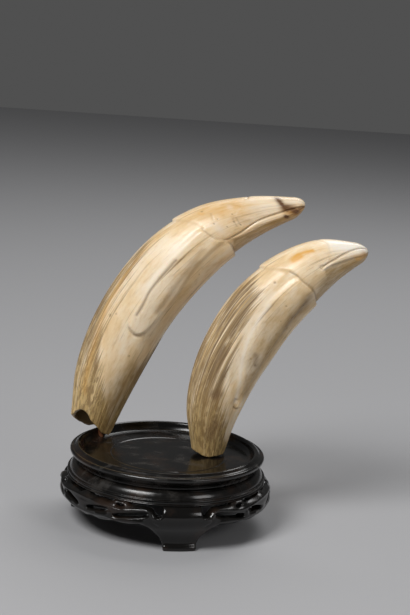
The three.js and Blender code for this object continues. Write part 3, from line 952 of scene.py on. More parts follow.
# %% [markdown]
# ## Old ivory
# Polished tooth is a warm cream with a soft shine. Where the coat is left it is golden tan with
# thin brown lines that run lengthwise, and dark dirt fills the carved lines. The points carry a
# grain value that goes round and along the tooth, so the pattern follows the bend and has no
# seam. Stored values mix the finishes, and each mix is broken up by noise so that no edge is
# clean.
# Painted shade darkens the belly sides, the throat under the beak and the deep pulp hollow, and
# painted highlight lightens the beak tops and the wing ridges.

# %% Colours of the ivory
CREAM = (0.89, 0.67, 0.40)
PALE = (0.95, 0.79, 0.575)
WARM_TAN = (0.66, 0.44, 0.205)
COAT_GOLD = (0.72, 0.51, 0.25)
COAT_TAN = (0.40, 0.25, 0.095)
ROOT_GOLD = (0.90, 0.635, 0.255)
LINE_BROWN = (0.16, 0.09, 0.03)
ROOT_BROWN = (0.19, 0.105, 0.032)
DIRT = (0.16, 0.085, 0.03)
STAIN_BROWN = (0.11, 0.042, 0.014)
STAIN_ORANGE = (0.76, 0.39, 0.075)
# Painted shade, and a pale cream for painted highlight.
SHADE_BROWN = (0.29, 0.17, 0.048)
PAINTED_HIGHLIGHT_PALE = (0.96, 0.90, 0.80)
# The pulp hollow is brown at its rim and near black deep inside, which is painted shade.
HOLLOW_RIM = (0.24, 0.15, 0.065)
HOLLOW_DEEP_SHADE = (0.035, 0.023, 0.011)
# How strongly each stored layer covers the surface, from the lowest layer to the top one. The
# pale layer is painted highlight and the shade layer is partly painted shade.
STAIN_AND_PAINTED_LIGHT_COLOURS = (("pale_and_painted_highlight", 0.85, PAINTED_HIGHLIGHT_PALE), ("shade", 0.8, SHADE_BROWN),
                 ("orange", 0.9, STAIN_ORANGE), ("brown", 0.95, STAIN_BROWN))
print("stains from the lowest layer up:", ", ".join(name for name, _, _ in STAIN_AND_PAINTED_LIGHT_COLOURS))

# %% The polished ivory
# Noise scales go twice round the tooth and once along it.
GRAIN_SCALES = {"cloud": (2.4, 2.4, 9), "mottle": (9, 9, 26), "streak": (9, 9, 2.6),
                "fine": (38, 38, 8)}
CREAM_CLOUDS = (0.35, 0.6)
# Noise that tans the polished ivory: its name, the level where it starts and how strong it is.
TANNING = (("cloud", 0.5, 0.4), ("mottle", 0.48, 0.42), ("streak", 0.5, 0.3))
TANNING_FULL = 0.72


def polished_colour(tree, noises):
    """Pale ivory with cream clouds and soft tan patches."""
    pale = map_range(tree, noises["cloud"], *CREAM_CLOUDS, 1, 0)
    base = mix_colours(tree, pale, CREAM, PALE)
    return layered(tree, base, *(
        (map_range(tree, noises[name], start, TANNING_FULL), amount, WARM_TAN)
        for name, start, amount in TANNING))


print("noises of the ivory:", ", ".join(GRAIN_SCALES))

# %% The coat
# Lines are a noise scale and a width. Patches are a noise scale and the levels of the noise
# where they start and where they are full.
BROAD_LINES = ((6.5, 6.5, 1.1), 0.16)
FINE_LINES = ((15, 15, 2.4), 0.09)
WORN_LINES = ((4.2, 4.2, 0.9), 0.07)
BROAD_LINES_LEFT = ((5, 5, 9), 0.3, 0.48)
BLOTCHES = ((10, 10, 34), 0.46, 0.56)
# Levels of a noise, or of the ridges, between which a colour comes in.
GOLD_STREAKS = (0.4, 0.58)
PALE_MOTTLE = (0.52, 0.7)
VALLEYS = (0.45, -0.1)
# The stretches of t, counted down to the root, over which a colour comes in.
BLOTCHED = (0.42, 0.1)
GOLDEN = (0.3, 0.02)


def coat_colour(tree, grain, along, noises, ridges):
    """Golden tan with pale worn lines and brown lines, golden and blotched towards the root."""
    golden_streaks = map_range(tree, noises["streak"], *GOLD_STREAKS)
    broad_lines = math_node(tree, "MULTIPLY", use_effect(tree, "lines", grain, *BROAD_LINES),
                            use_effect(tree, "patches", grain, *BROAD_LINES_LEFT))
    blotches = math_node(tree, "MULTIPLY", use_effect(tree, "patches", grain, *BLOTCHES),
                         map_range(tree, along, *BLOTCHED))
    # Each layer: where it lies, how much it covers there and its colour.
    colour = layered(
        tree, mix_colours(tree, golden_streaks, COAT_TAN, COAT_GOLD),
        (map_range(tree, noises["mottle"], *PALE_MOTTLE), 0.4, PALE),
        (use_effect(tree, "lines", grain, *WORN_LINES), 0.6, PALE),
        (broad_lines, 0.95, LINE_BROWN),
        (use_effect(tree, "lines", grain, *FINE_LINES), 0.7, LINE_BROWN),
        (map_range(tree, ridges, *VALLEYS), 0.6, LINE_BROWN),
        (map_range(tree, along, *GOLDEN), 0.6, ROOT_GOLD),
        (blotches, 0.7, ROOT_BROWN),
    )
    return colour, broad_lines


print("the coat's line colour is", LINE_BROWN)

# %% Ivory material
# A factor and an offset for the noise that frays the edge of the coat, and then that of a stain,
# a painted shade and a painted highlight.
FRAY_STREAK = (2.8, -1.4)
FRAY_FINE = (1.4, -0.7)
COAT_EDGE = (0.2, 0.8)
STAIN_AND_PAINTED_LIGHT_FRAY = (1.3, 0.4)
COAT_COVER = 0.94
SPECK_COVER = 0.6
DIRT_COVER = 0.72
# Painted shade: the stretch of t over which the hollow darkens from its rim.
HOLLOW_SHADE_DEEPENS = (0.0, 0.12)
# Handling has polished the head: the stretch of t, and the roughness before and after it.
HANDLED = (0.45, 0.9, 0.36, 0.2)
COAT_ROUGHNESS = 0.22
FINE_ROUGHNESS = 0.12
SCATTER = 0.1
SCATTER_RADIUS = (0.6, 0.35, 0.18)
SCATTER_DEPTH = 0.003
GRAIN_BUMP_DEPTH = 0.0004
GRAIN_BUMP = 0.4
GRAIN_BUMP_ON_COAT = (0.9, 0.12)


def ivory_material(name):
    """Polished ivory and its coat, stained and dirty, with painted shade and painted highlight
    where the stored values say.
    """
    material, shader = new_material(name)
    tree = material.node_tree
    grain = read_value(tree, "grain", "Vector")
    along = split_vector(tree, grain)["Z"]
    stored = {key: read_value(tree, key) for key in (*VALUE_NAMES, "hollow")}
    noises = {key: noise_node(tree, grain, scale) for key, scale in GRAIN_SCALES.items()}
    coat, broad_lines = coat_colour(tree, grain, along, noises, stored["ridges"])

    fray = math_node(tree, "ADD", scaled(tree, noises["streak"], *FRAY_STREAK),
                     scaled(tree, noises["fine"], *FRAY_FINE))
    on_coat = map_range(tree, math_node(tree, "ADD", stored["coat"], fray), *COAT_EDGE)
    on_coat = scaled(tree, on_coat, COAT_COVER)
    surface = mix_colours(tree, on_coat, polished_colour(tree, noises), coat)
    # Stains, painted shade and painted highlight, each frayed by the mottle noise.
    stain_and_painted_light_fray = scaled(tree, noises["mottle"], *STAIN_AND_PAINTED_LIGHT_FRAY)
    surface = layered(tree, surface, *(
        (math_node(tree, "MULTIPLY", stored[key], stain_and_painted_light_fray, clamp=True), amount, colour)
        for key, amount, colour in STAIN_AND_PAINTED_LIGHT_COLOURS))
    surface = layered(tree, surface, (stored["specks"], SPECK_COVER, ROOT_BROWN),
                      (stored["dirt"], DIRT_COVER, DIRT))
    # Painted shade: the hollow darkens from its rim inwards.
    deep = map_range(tree, along, *HOLLOW_SHADE_DEEPENS)
    hollow = mix_colours(tree, deep, HOLLOW_RIM, HOLLOW_DEEP_SHADE)
    feed(tree, shader.inputs["Base Color"], mix_colours(tree, stored["hollow"], surface, hollow))

    rough = map_range(tree, along, *HANDLED)
    rough = math_node(tree, "MULTIPLY_ADD", on_coat, COAT_ROUGHNESS, rough)
    rough = math_node(tree, "MULTIPLY_ADD", noises["fine"], FINE_ROUGHNESS, rough)
    feed(tree, shader.inputs["Roughness"], rough)
    feed(tree, shader.inputs["Subsurface Weight"], SCATTER)
    feed(tree, shader.inputs["Subsurface Radius"], SCATTER_RADIUS)
    feed(tree, shader.inputs["Subsurface Scale"], SCATTER_DEPTH)
    cut = math_node(tree, "SUBTRACT", noises["fine"], broad_lines)
    height = math_node(tree, "MULTIPLY", cut, scaled(tree, on_coat, *GRAIN_BUMP_ON_COAT))
    feed(tree, shader.inputs["Normal"], bump_normal(tree, height, GRAIN_BUMP_DEPTH, GRAIN_BUMP))
    return material


ivory = ivory_material("old_ivory")
for made, node_name in ((left_tooth, "left_tooth"), (right_tooth, "right_tooth")):
    made.data.materials.append(ivory)
    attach(made, ROOT_BODY)
    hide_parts(node_name)
print("old ivory has", len(ivory.node_tree.nodes), "nodes")

# %% [markdown]
# ## Black lacquer
# The stand is hardwood under thin black lacquer. It is glossy, with soft smears where it has
# been handled and wiped, and a little brown where the lacquer is thin. The turned parts still
# show fine rings from the lathe under it, which break up the highlights. Their height is noise
# that changes with the distance from the axis and with the height alone.

# %% Lacquer material
LACQUER_BLACK = (0.0045, 0.004, 0.0035)
LACQUER_THIN = (0.022, 0.012, 0.007)
LACQUER_SCUFF = (0.05, 0.045, 0.04)
# Patches are a scale, then the levels of the noise where they start and where they are full.
THIN_PATCHES = ((70, 70, 70), 0.5, 0.75)
SCUFF_PATCHES = ((55, 90, 55), 0.52, 0.68)
SMEAR_PATCHES = ((35, 35, 35), 0.35, 0.7)
CLEAN_ROUGHNESS = 0.12
SMEAR_ROUGHNESS = 0.14
SCUFF_ROUGHNESS = 0.3
RINGS_PER_METRE = 1300
RING_DETAIL = 2
RING_NOISE_ROUGHNESS = 0.5
TURNED_RING_DEPTH = 0.00004
CARVED_RING_DEPTH = 0.00001
TURNED_SCUFFING = 0.5
CARVED_SCUFFING = 0.15


def lathe_rings(tree, place):
    """Noise that is the same all round the stand's axis."""
    from_axis = split_vector(tree, vector_node(tree, "SUBTRACT", place, AXIS))
    squares = math_node(tree, "MULTIPLY", from_axis["X"], from_axis["X"])
    squares = math_node(tree, "MULTIPLY_ADD", from_axis["Y"], from_axis["Y"], squares)
    ring_place = new_node(tree, "ShaderNodeCombineXYZ",
                          {"X": math_node(tree, "SQRT", squares), "Z": from_axis["Z"]})
    return noise_node(tree, ring_place.outputs["Vector"], RINGS_PER_METRE, RING_DETAIL,
                      RING_NOISE_ROUGHNESS)


def lacquer_material(name, ring_depth, scuffing):
    """Glossy black lacquer that is thin, scuffed and smeared in patches."""
    material, shader = new_material(name)
    tree = material.node_tree
    place = tree.nodes.new("ShaderNodeTexCoord").outputs["Object"]
    thin = use_effect(tree, "patches", place, *THIN_PATCHES)
    scuffs = scaled(tree, use_effect(tree, "patches", place, *SCUFF_PATCHES), scuffing)
    smears = use_effect(tree, "patches", place, *SMEAR_PATCHES)
    colour = mix_colours(tree, thin, LACQUER_BLACK, LACQUER_THIN)
    colour = mix_colours(tree, scuffs, colour, LACQUER_SCUFF)
    rough = scaled(tree, smears, SMEAR_ROUGHNESS, CLEAN_ROUGHNESS)
    rough = math_node(tree, "MULTIPLY_ADD", scuffs, SCUFF_ROUGHNESS, rough)
    feed(tree, shader.inputs["Base Color"], colour)
    feed(tree, shader.inputs["Roughness"], rough)
    rings = lathe_rings(tree, place)
    feed(tree, shader.inputs["Normal"], bump_normal(tree, rings, ring_depth))
    return material


turned_lacquer = lacquer_material("turned_lacquer", TURNED_RING_DEPTH, TURNED_SCUFFING)
carved_lacquer = lacquer_material("carved_lacquer", CARVED_RING_DEPTH, CARVED_SCUFFING)
print(f"the lathe left about {RINGS_PER_METRE * MM:.1f} rings in each millimetre")

# %% [markdown]
# ## The turned tray
# The top of the stand was turned on a lathe: a flat floor inside a double rim, with a hollow
# under it where it meets the waist. A lathe follows one rule, so the tray is made by a Geometry
# Nodes tree that takes a drawn profile and turns it round the axis.

# %% Geometry Nodes helpers
def new_geometry_tree(name, inputs):
    """A tree with a Geometry input and output and the named inputs, each with its socket type."""
    tree = bpy.data.node_groups.new(name, "GeometryNodeTree")
    tree.interface.new_socket("Geometry", in_out="INPUT", socket_type="NodeSocketGeometry")
    for label, kind in inputs:
        tree.interface.new_socket(label, in_out="INPUT", socket_type="NodeSocket" + kind)
    tree.interface.new_socket("Geometry", in_out="OUTPUT", socket_type="NodeSocketGeometry")
    return tree, tree.nodes.new("NodeGroupInput").outputs


def finish_tree(tree, geometry, material):
    """Ends a tree: real mesh, smooth shading and its material."""
    real = new_node(tree, "GeometryNodeRealizeInstances", {"Geometry": geometry})
    smooth = new_node(tree, "GeometryNodeSetShadeSmooth", {"Geometry": real.outputs["Geometry"]})
    painted = new_node(tree, "GeometryNodeSetMaterial",
                       {"Geometry": smooth.outputs["Geometry"], "Material": material})
    new_node(tree, "NodeGroupOutput", {"Geometry": painted.outputs["Geometry"]})
    return tree


def moved_and_closed(tree, geometry, places, merge_distance):
    """Moves points to or by the given places and merges those that then meet."""
    moved = new_node(tree, "GeometryNodeSetPosition", {"Geometry": geometry, **places})
    closed = new_node(tree, "GeometryNodeMergeByDistance",
                      {"Geometry": moved.outputs["Geometry"], "Distance": merge_distance})
    return closed.outputs["Geometry"]


def apply_tree(name, start_mesh, tree, values):
    """The mesh that a tree makes from a start mesh, as a new object of its own."""
    carrier = new_object(name + "_start", start_mesh)
    modifier = carrier.modifiers.new(tree.name, "NODES")
    modifier.node_group = tree
    for item in tree.interface.items_tree:
        if item.in_out == "INPUT" and item.name in values:
            modifier[item.identifier] = values[item.name]
    evaluated = carrier.evaluated_get(bpy.context.evaluated_depsgraph_get())
    mesh = bpy.data.meshes.new_from_object(evaluated)
    mesh.name = name
    bpy.data.objects.remove(carrier)
    triangles = len(mesh.loops) - 2 * len(mesh.polygons)
    print(name, len(mesh.vertices), "points,", triangles, "triangles")
    return new_object(name, mesh)

# %% A tree that turns a profile on the lathe
TURNED_MERGE_DISTANCE = 1e-6


def turning_tree():
    """Turns the profile line in the input round the Z axis."""
    tree, given = new_geometry_tree(
        "turned_profile",
        [("Steps Around", "Int"), ("Steps Along", "Int"), ("Axis", "Vector"),
         ("Material", "Material")])
    grid = new_node(tree, "GeometryNodeMeshGrid",
                    {"Size X": 1, "Size Y": 1, "Vertices X": given["Steps Around"],
                     "Vertices Y": given["Steps Along"]})
    position = tree.nodes.new("GeometryNodeInputPosition").outputs["Position"]
    on_grid = split_vector(tree, position)
    angle = math_node(tree, "MULTIPLY_ADD", on_grid["X"], 2 * math.pi, math.pi)
    along = math_node(tree, "ADD", on_grid["Y"], 0.5, clamp=True)
    curve = new_node(tree, "GeometryNodeMeshToCurve", {"Mesh": given["Geometry"]})
    sample = tree.nodes.new("GeometryNodeSampleCurve")
    sample.mode = "FACTOR"
    feed(tree, sample.inputs["Curves"], curve.outputs["Curve"])
    feed(tree, sample.inputs["Factor"], along)
    profile = split_vector(tree, sample.outputs["Position"])
    x, y = (math_node(tree, "MULTIPLY", profile["X"], math_node(tree, turn, angle))
            for turn in ("COSINE", "SINE"))
    turned = new_node(tree, "ShaderNodeCombineXYZ", {"X": x, "Y": y, "Z": profile["Z"]})
    places = {"Position": turned.outputs["Vector"], "Offset": given["Axis"]}
    closed = moved_and_closed(tree, grid.outputs["Mesh"], places, TURNED_MERGE_DISTANCE)
    return finish_tree(tree, closed, given["Material"])


LATHE = turning_tree()
print("the lathe's tree has", len(LATHE.nodes), "nodes")

# %% Turn the tray
STEPS_AROUND = 289
TRAY_STEPS_ALONG = 330
TRAY_CURVE_STEPS = 8
TRAY_FLOOR_Z = 35
TRAY_UNDERSIDE_Z = 31.2
TRAY_MOULDING = [
    (42.6, 35), (43.4, 35.2), (44.2, 36), (44.8, 37.1), (45.2, 38.5), (45.7, 39.3), (46.5, 39.6),
    (47.2, 39.4), (47.8, 38.9), (48.5, 38.3), (49.2, 38), (49.9, 37.95), (50.5, 37.6),
    (50.8, 37), (50.7, 36.3), (50.2, 35.5), (49.3, 34.6), (48.4, 33.8), (47.6, 32.9),
    (47.2, 32), (47.1, 31.2),
]
TRAY_RING = [(30.4, TRAY_FLOOR_Z), (30.2, 35.2), (29.9, 35.28), (29.6, 35.2), (29.4, TRAY_FLOOR_Z)]


def profile_mesh(name, points):
    """A line of edges in the XZ plane, in metres from the axis."""
    mesh = bpy.data.meshes.new(name)
    rows = [(radius * MM, 0, z * MM) for radius, z in points]
    mesh.from_pydata(rows, [(i, i + 1) for i in range(len(rows) - 1)], [])
    return mesh


# The profile runs out along the underside, up the outside and back over the top, so that the
# turned faces point outwards. The shoulder's profile runs the same way.
tray_line = [(0, TRAY_UNDERSIDE_Z), *rounded_line(TRAY_MOULDING, TRAY_CURVE_STEPS)[::-1],
             *TRAY_RING, (0, TRAY_FLOOR_Z)]
tray = apply_tree("turned_tray", profile_mesh("tray_profile", tray_line), LATHE,
                  {"Steps Around": STEPS_AROUND, "Steps Along": TRAY_STEPS_ALONG, "Axis": AXIS,
                   "Material": turned_lacquer})
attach(tray, ROOT_BODY)
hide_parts("stand_tray")

# %% [markdown]
# ## The shoulder ring
# Under the tray the wood swells out to a shoulder that ends in a flat band between two fine
# ridges. This part is turned as well, so the same tree makes it from its own profile.

# %% Turn the shoulder
SHOULDER_STEPS_ALONG = 260
SHOULDER_CURVE_STEPS = 6
BASE_TOP_Z = 30.9
BAND_TOP_Z = 26.4
BAND_FOOT_Z = 24.4
LEDGE_BORE_RADIUS = 40
LEDGE_FOOT_Z = 27.2
SHOULDER_MOULDING = [
    (47.2, BASE_TOP_Z), (48.2, 30.6), (49.2, 29.8), (49.9, 28.8), (50.4, 27.7), (50.6, 26.9),
    (51.1, 26.9), (51.6, 26.75), (51.7, BAND_TOP_Z), (51.25, 26.1), (51, 25.6),
    (51.05, 25), (51.55, 24.75), (51.75, BAND_FOOT_Z), (51.3, 24.1), (50.6, 24),
]
shoulder_line = [
    (LEDGE_BORE_RADIUS, LEDGE_FOOT_Z), (44.5, LEDGE_FOOT_Z), (47.2, 24),
    *rounded_line(SHOULDER_MOULDING, SHOULDER_CURVE_STEPS)[::-1],
    (LEDGE_BORE_RADIUS, BASE_TOP_Z), (LEDGE_BORE_RADIUS, LEDGE_FOOT_Z),
]
shoulder = apply_tree("turned_shoulder", profile_mesh("shoulder_profile", shoulder_line), LATHE,
                      {"Steps Around": STEPS_AROUND, "Steps Along": SHOULDER_STEPS_ALONG,
                       "Axis": AXIS, "Material": turned_lacquer})
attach(shoulder, ROOT_BODY)
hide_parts("stand_base")

# %% [markdown]
# ## The pierced apron and the legs
# Below the shoulder hangs a bulging apron of pierced scrolls that ends in three broad legs. The
# carver cut the same third three times. One third is described as a field: for each point in
# space, how far it is inside or outside the wood. Openings are taken away from the turned form,
# scroll lines are raised on it, and the edges are rounded where they meet, as thick lacquer
# rounds them.

# %% Profile of the apron and the openings in it
APRON_TOP_Z = 24.5
APRON_MOULDING = [
    (50.4, APRON_TOP_Z), (51, 24.2), (52.4, 23.4), (53.9, 21.8), (54.8, 19.8), (55, 17.8),
    (54.5, 15.4), (53.2, 13), (51.5, 10.6), (50.1, 8), (49.4, 5.5), (49.3, 4), (49.7, 3),
    (50.3, 2.2), (50.5, 1.3), (50.2, 0),
]
APRON_INSIDE = [(44.5, 0), (44.5, 8), (49, 14), (49, 22), (47, APRON_TOP_Z)]
APRON_RADIUS = 52
LEG_COUNT = 3
FRONT_LEG_DEG = 281.5
HALF_THIRD = 180 / LEG_COUNT
# Openings and lines are drawn as (degrees from the middle of the leg, height).
UNDER_THE_ARCH = [
    (10, -3), (10, 2.5), (12.6, 7), (18.5, 12.4), (23, 14), (28, 13.2), (33, 12.8), (38, 13.4),
    (43, 12.2), (48, 11.5), (54, 12.4), (60, 10.9), (68, 11), (68, -3),
]
OPENINGS = [
    [(11.4, 24), (16, 24.1), (23, 24.1), (29.5, 24), (29, 22.9), (22, 23), (18, 22.6),
     (16, 21.6), (15, 20.2), (13.6, 19), (11.5, 19.2)],
    [(18.5, 20.2), (22, 20.3), (28, 19.4), (37.5, 17.6), (37, 16), (30, 16.8), (25, 17.5),
     (20, 18.6)],
    [(33, 22.6), (36.8, 22.7), (36.6, 21.6), (33.4, 21.4)],
    [(40, 24), (48, 24.1), (56.5, 24), (55.4, 22.9), (48, 23.1), (42, 22.8)],
    [(41.5, 19.2), (46, 19.6), (51, 18.9), (56.4, 17.4), (55.4, 16.2), (50, 16.9), (44, 17.7)],
]
APRON_LINES = [
    # line, height raised in mm (a negative one is cut), half width in mm
    ([(13.6, 18.2), (15.6, 18.6), (16.4, 20), (17.6, 21.4), (20.5, 22.1), (25, 21.8),
      (31, 20.9), (38, 20.5), (45, 21), (52, 21.6), (60, 21.8)], 0.7, 0.8),
    ([(21, 15.7), (27, 15.2), (34, 14.6), (40, 15), (44, 15.2), (50, 14.4), (60, 14)], 0.55, 0.8),
    ([(39.6, 18.2), (41, 16.4), (45, 15.8), (49, 15.4)], 0.45, 0.7),
    ([(33.5, 23.4), (37.5, 23.4)], 0.6, 1.1),
    ([(13.4, 14), (16, 15.8), (16.4, 17.6)], -0.4, 0.5),
]
print(len(OPENINGS), "openings on each side of a leg")

# %% Loops and rounded corners
def rounded_loop(points, steps=8):
    """A smooth closed curve through the points."""
    points = [points[-1], *points, points[0], points[1]]
    return rounded_line(points, steps)[steps:-steps]


def loop_distance(places, loop):
    """Signed distance to a closed loop, negative inside it."""
    loop = np.vstack([loop, loop[:1]])
    inside = np.zeros(places.shape[:-1], bool)
    for (x0, y0), (x1, y1) in zip(loop[:-1], loop[1:]):
        if y0 == y1:
            continue
        crosses = (places[..., 1] < y0) != (places[..., 1] < y1)
        at = x0 + (places[..., 1] - y0) * (x1 - x0) / (y1 - y0)
        inside ^= crosses & (places[..., 0] < at)
    return distance_to_line(places, loop) * np.where(inside, -1, 1)


def smooth_larger(first, second, width):
    """The larger of two fields, with the corner between them rounded."""
    gap = np.maximum(width - np.abs(first - second), 0) / width
    return np.maximum(first, second) + gap**2 * width / 4


print("the first opening is drawn with", len(rounded_loop(OPENINGS[0])), "points")

# %% The field of one third of the apron
FIELD_STEP = 0.46
APRON_CURVE_STEPS = 5
FIELD_RADII = (43.6, 56.4)
FIELD_FOOT_Z = -0.8
ABOVE_APRON = 1
EDGE_ROUND = 0.7
OUTSIDE_STARTS = (49.5, 51.5)
MM_PER_DEGREE = math.radians(1) * APRON_RADIUS


def apron_relief(face):
    """Height of the scroll lines over the turned form in mm."""
    relief = np.zeros(face.shape[:2])
    for line, height, half_width in APRON_LINES:
        gap = distance_to_line(face, rounded_line(line, LINE_STEPS) * (MM_PER_DEGREE, 1))
        relief += height * faded(gap, half_width)
    return relief


def third_of_apron():
    """The field of one third of the apron and the grid it is on."""
    columns = int(2 * HALF_THIRD * MM_PER_DEGREE / FIELD_STEP)
    degrees = -HALF_THIRD + np.arange(columns + 2) * 2 * HALF_THIRD / columns
    radius = np.arange(*FIELD_RADII, FIELD_STEP)
    z = np.arange(FIELD_FOOT_Z, APRON_TOP_Z + ABOVE_APRON, FIELD_STEP)
    turned = np.vstack([rounded_line(APRON_MOULDING, APRON_CURVE_STEPS), APRON_INSIDE])
    section = np.stack(np.meshgrid(radius, z, indexing="ij"), -1)
    wood = loop_distance(section, turned)[:, None, :]

    from_leg = np.abs((degrees + HALF_THIRD) % (2 * HALF_THIRD) - HALF_THIRD)
    face = np.stack(np.meshgrid(from_leg * MM_PER_DEGREE, z, indexing="ij"), -1)
    open_part = loop_distance(face, np.array(UNDER_THE_ARCH) * (MM_PER_DEGREE, 1))
    for outline in OPENINGS:
        loop = rounded_loop(outline) * (MM_PER_DEGREE, 1)
        open_part = np.minimum(open_part, loop_distance(face, loop))
    outside = smooth_step(*OUTSIDE_STARTS, radius)[:, None, None]
    carved = wood - apron_relief(face)[None] * outside
    return smooth_larger(carved, -open_part[None], 2 * EDGE_ROUND), radius, degrees, z


print(f"the field is measured every {FIELD_STEP} mm")

# %% [markdown]
# The surface lies where the field passes through zero. Every edge of the grid that crosses zero
# gives one quad, whose corners are the middles of the crossings in the four cells round that
# edge. The method is called surface nets. It gives even, nearly square faces and rounds every
# corner a little, which suits lacquered wood.

# %% The surface of the field
def surface_net(field):
    """Points, in steps of the grid, and quads of the zero surface of a field."""
    cells = np.array(field.shape) - 1
    total = np.zeros((*cells, 3))
    count = np.zeros(cells, int)
    corners = []
    unit = np.eye(3, dtype=int)
    for axis in range(3):
        low = np.delete(field, -1, axis)
        high = np.delete(field, 0, axis)
        edge = np.argwhere((low < 0) != (high < 0))
        from_value = low[tuple(edge.T)]
        crossing = edge.astype(float)
        crossing[:, axis] += from_value / (from_value - high[tuple(edge.T)])
        around = []
        for back_one, back_two in ((0, 0), (1, 0), (1, 1), (0, 1)):
            cell = edge - back_one * unit[(axis + 1) % 3] - back_two * unit[(axis + 2) % 3]
            there = ((cell >= 0) & (cell < cells)).all(1)
            place = tuple(cell[there].T)
            np.add.at(total, place, crossing[there])
            np.add.at(count, place, 1)
            around.append(np.where(there[:, None], cell, -1))
        around = np.stack(around, 1)
        whole = (around >= 0).all((1, 2))
        if axis == 1:
            # The last column of edges repeats the first one of the next third.
            whole &= edge[:, 1] < cells[1] - 1
        around[from_value >= 0] = around[from_value >= 0][:, ::-1]
        corners.append(around[whole])
    corners = np.vstack(corners)
    used = count > 0
    number = np.cumsum(used.ravel()).reshape(used.shape) - 1
    quads = number[tuple(np.moveaxis(corners, -1, 0))]
    return total[used] / count[used][:, None], quads


def mesh_of_third():
    """One third of the apron as a mesh round the Z axis, with its leg at the angle zero."""
    field, radius, degrees, z = third_of_apron()
    places, quads = surface_net(field)
    r = radius[0] + places[:, 0] * FIELD_STEP
    angle = np.radians(degrees[0] + places[:, 1] * (degrees[1] - degrees[0]))
    height = z[0] + places[:, 2] * FIELD_STEP
    points = np.stack([r * np.cos(angle), r * np.sin(angle), height], -1) * MM
    mesh = bpy.data.meshes.new("apron_third")
    mesh.from_pydata(points.tolist(), [], quads.tolist())
    print("one third has", len(points), "points")
    return mesh

# %% The third repeated round the axis
REPEAT_MERGE_DISTANCE = 2e-6


def repeating_tree():
    """Repeats the input round the Z axis and joins the copies."""
    tree, given = new_geometry_tree(
        "repeated_round_axis",
        [("Count", "Int"), ("First Angle", "Float"), ("Axis", "Vector"), ("Material", "Material")])
    line = new_node(tree, "GeometryNodeMeshLine",
                    {"Count": given["Count"], "Offset": (0, 0, 0)})
    step = math_node(tree, "DIVIDE", 2 * math.pi, given["Count"])
    index = tree.nodes.new("GeometryNodeInputIndex").outputs["Index"]
    angle = math_node(tree, "MULTIPLY_ADD", index, step, given["First Angle"])
    turn = new_node(tree, "ShaderNodeCombineXYZ", {"Z": angle})
    copies = new_node(tree, "GeometryNodeInstanceOnPoints",
                      {"Points": line.outputs["Mesh"], "Instance": given["Geometry"],
                       "Rotation": turn.outputs["Vector"]})
    real = new_node(tree, "GeometryNodeRealizeInstances",
                    {"Geometry": copies.outputs["Instances"]})
    joined = moved_and_closed(tree, real.outputs["Geometry"], {"Offset": given["Axis"]},
                              REPEAT_MERGE_DISTANCE)
    return finish_tree(tree, joined, given["Material"])


apron = apply_tree("carved_apron", mesh_of_third(), repeating_tree(),
                   {"Count": LEG_COUNT, "First Angle": math.radians(FRONT_LEG_DEG), "Axis": AXIS,
                    "Material": carved_lacquer})
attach(apron, ROOT_BODY)
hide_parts("stand_base")

# %% [markdown]
# ## The pegs
# Each tooth stands on a short peg of reddish brown wood that goes up into its hollow. Only the
# foot of one shows. The measured pegs have the right shape already, so they stay and only get
# their wood, with its grain running up the peg.

# %% Wood of the pegs
WOOD_RED = (0.23, 0.085, 0.035)
WOOD_DARK = (0.07, 0.026, 0.012)
WOOD_LINES = ((900, 900, 90), 0.06)
WOOD_PATCHES = ((250, 250, 80), 0.45, 0.7)
WOOD_LINE_COVER = 0.7
WOOD_PATCH_COVER = 0.5
WOOD_ROUGHNESS = 0.4
DARK_WOOD_ROUGHER = 0.2


def wood_material(name):
    """Reddish brown wood with dark lines up its grain and darker patches."""
    material, shader = new_material(name)
    tree = material.node_tree
    place = tree.nodes.new("ShaderNodeTexCoord").outputs["Object"]
    lines = use_effect(tree, "lines", place, *WOOD_LINES)
    dark = use_effect(tree, "patches", place, *WOOD_PATCHES)
    colour = layered(tree, WOOD_RED, (lines, WOOD_LINE_COVER, WOOD_DARK),
                     (dark, WOOD_PATCH_COVER, WOOD_DARK))
    feed(tree, shader.inputs["Base Color"], colour)
    feed(tree, shader.inputs["Roughness"], scaled(tree, dark, DARK_WOOD_ROUGHER, WOOD_ROUGHNESS))
    return material


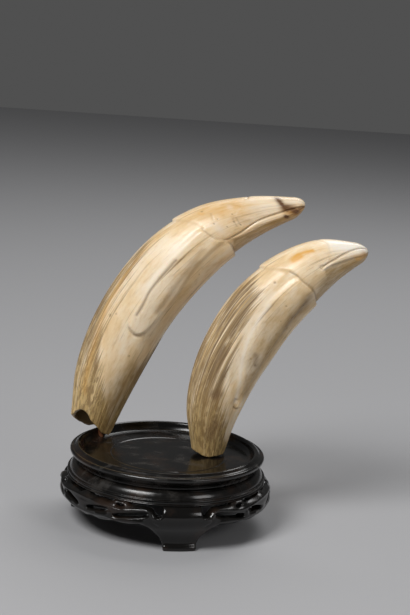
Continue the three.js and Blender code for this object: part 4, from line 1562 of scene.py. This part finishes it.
peg_wood = wood_material("peg_wood")
for node_name in ("left_peg", "right_peg"):
    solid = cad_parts[node_name]
    solid.data.materials.clear()
    solid.data.materials.append(peg_wood)
    print(node_name, "keeps its measured shape")

# %% [markdown]
# ## Floor, light and picture
# The set is a plain pale floor with soft lights. The broadest light stands in front on the left,
# a second one behind on the right draws the bright edges of the rims and of the bellies, and a
# weak one in front on the right opens the shadows. A dim world keeps the lacquer black.

# %% Floor
FLOOR_HALF = 2.0
FLOOR_GREY = (0.4, 0.4, 0.41)
FLOOR_ROUGHNESS = 0.9
floor_mesh = bpy.data.meshes.new("floor")
floor_corners = [(x * FLOOR_HALF, y * FLOOR_HALF, 0)
                 for x, y in ((-1, -1), (1, -1), (1, 1), (-1, 1))]
floor_mesh.from_pydata(floor_corners, [], [(0, 1, 2, 3)])
floor = new_object("floor", floor_mesh)
floor_material, floor_shader = new_material("pale_floor")
feed(floor_material.node_tree, floor_shader.inputs["Base Color"], FLOOR_GREY)
feed(floor_material.node_tree, floor_shader.inputs["Roughness"], FLOOR_ROUGHNESS)
floor_mesh.materials.append(floor_material)
print("the floor is", 2 * FLOOR_HALF, "m across")

# %% Lights and world
LIGHT_AIM = Vector((0, 0, 0.09))
# Each light: name, place in metres, size in metres and power in watts.
LIGHTS = [
    ("left_front", (-0.55, -0.68, 1.05), 0.5, 14),
    ("right_front", (0.7, -0.65, 0.55), 0.35, 1.8),
    ("right_back", (0.3, 0.7, 1.05), 0.7, 6),
]
WORLD_WHITE = (1, 1, 1, 1)
WORLD_STRENGTH = 0.08
for name, place, size, power in LIGHTS:
    data = bpy.data.lights.new(name, "AREA")
    data.size = size
    data.energy = power
    light = new_object(name, data)
    light.location = place
    light.rotation_euler = (LIGHT_AIM - Vector(place)).to_track_quat("-Z", "Y").to_euler()
    print(name, power, "W from", place)
world = bpy.data.worlds.new("studio")
bpy.context.scene.world = world
world.use_nodes = True
background = world.node_tree.nodes["Background"]
background.inputs["Color"].default_value = WORLD_WHITE
background.inputs["Strength"].default_value = WORLD_STRENGTH
bpy.context.scene.view_settings.view_transform = "Standard"
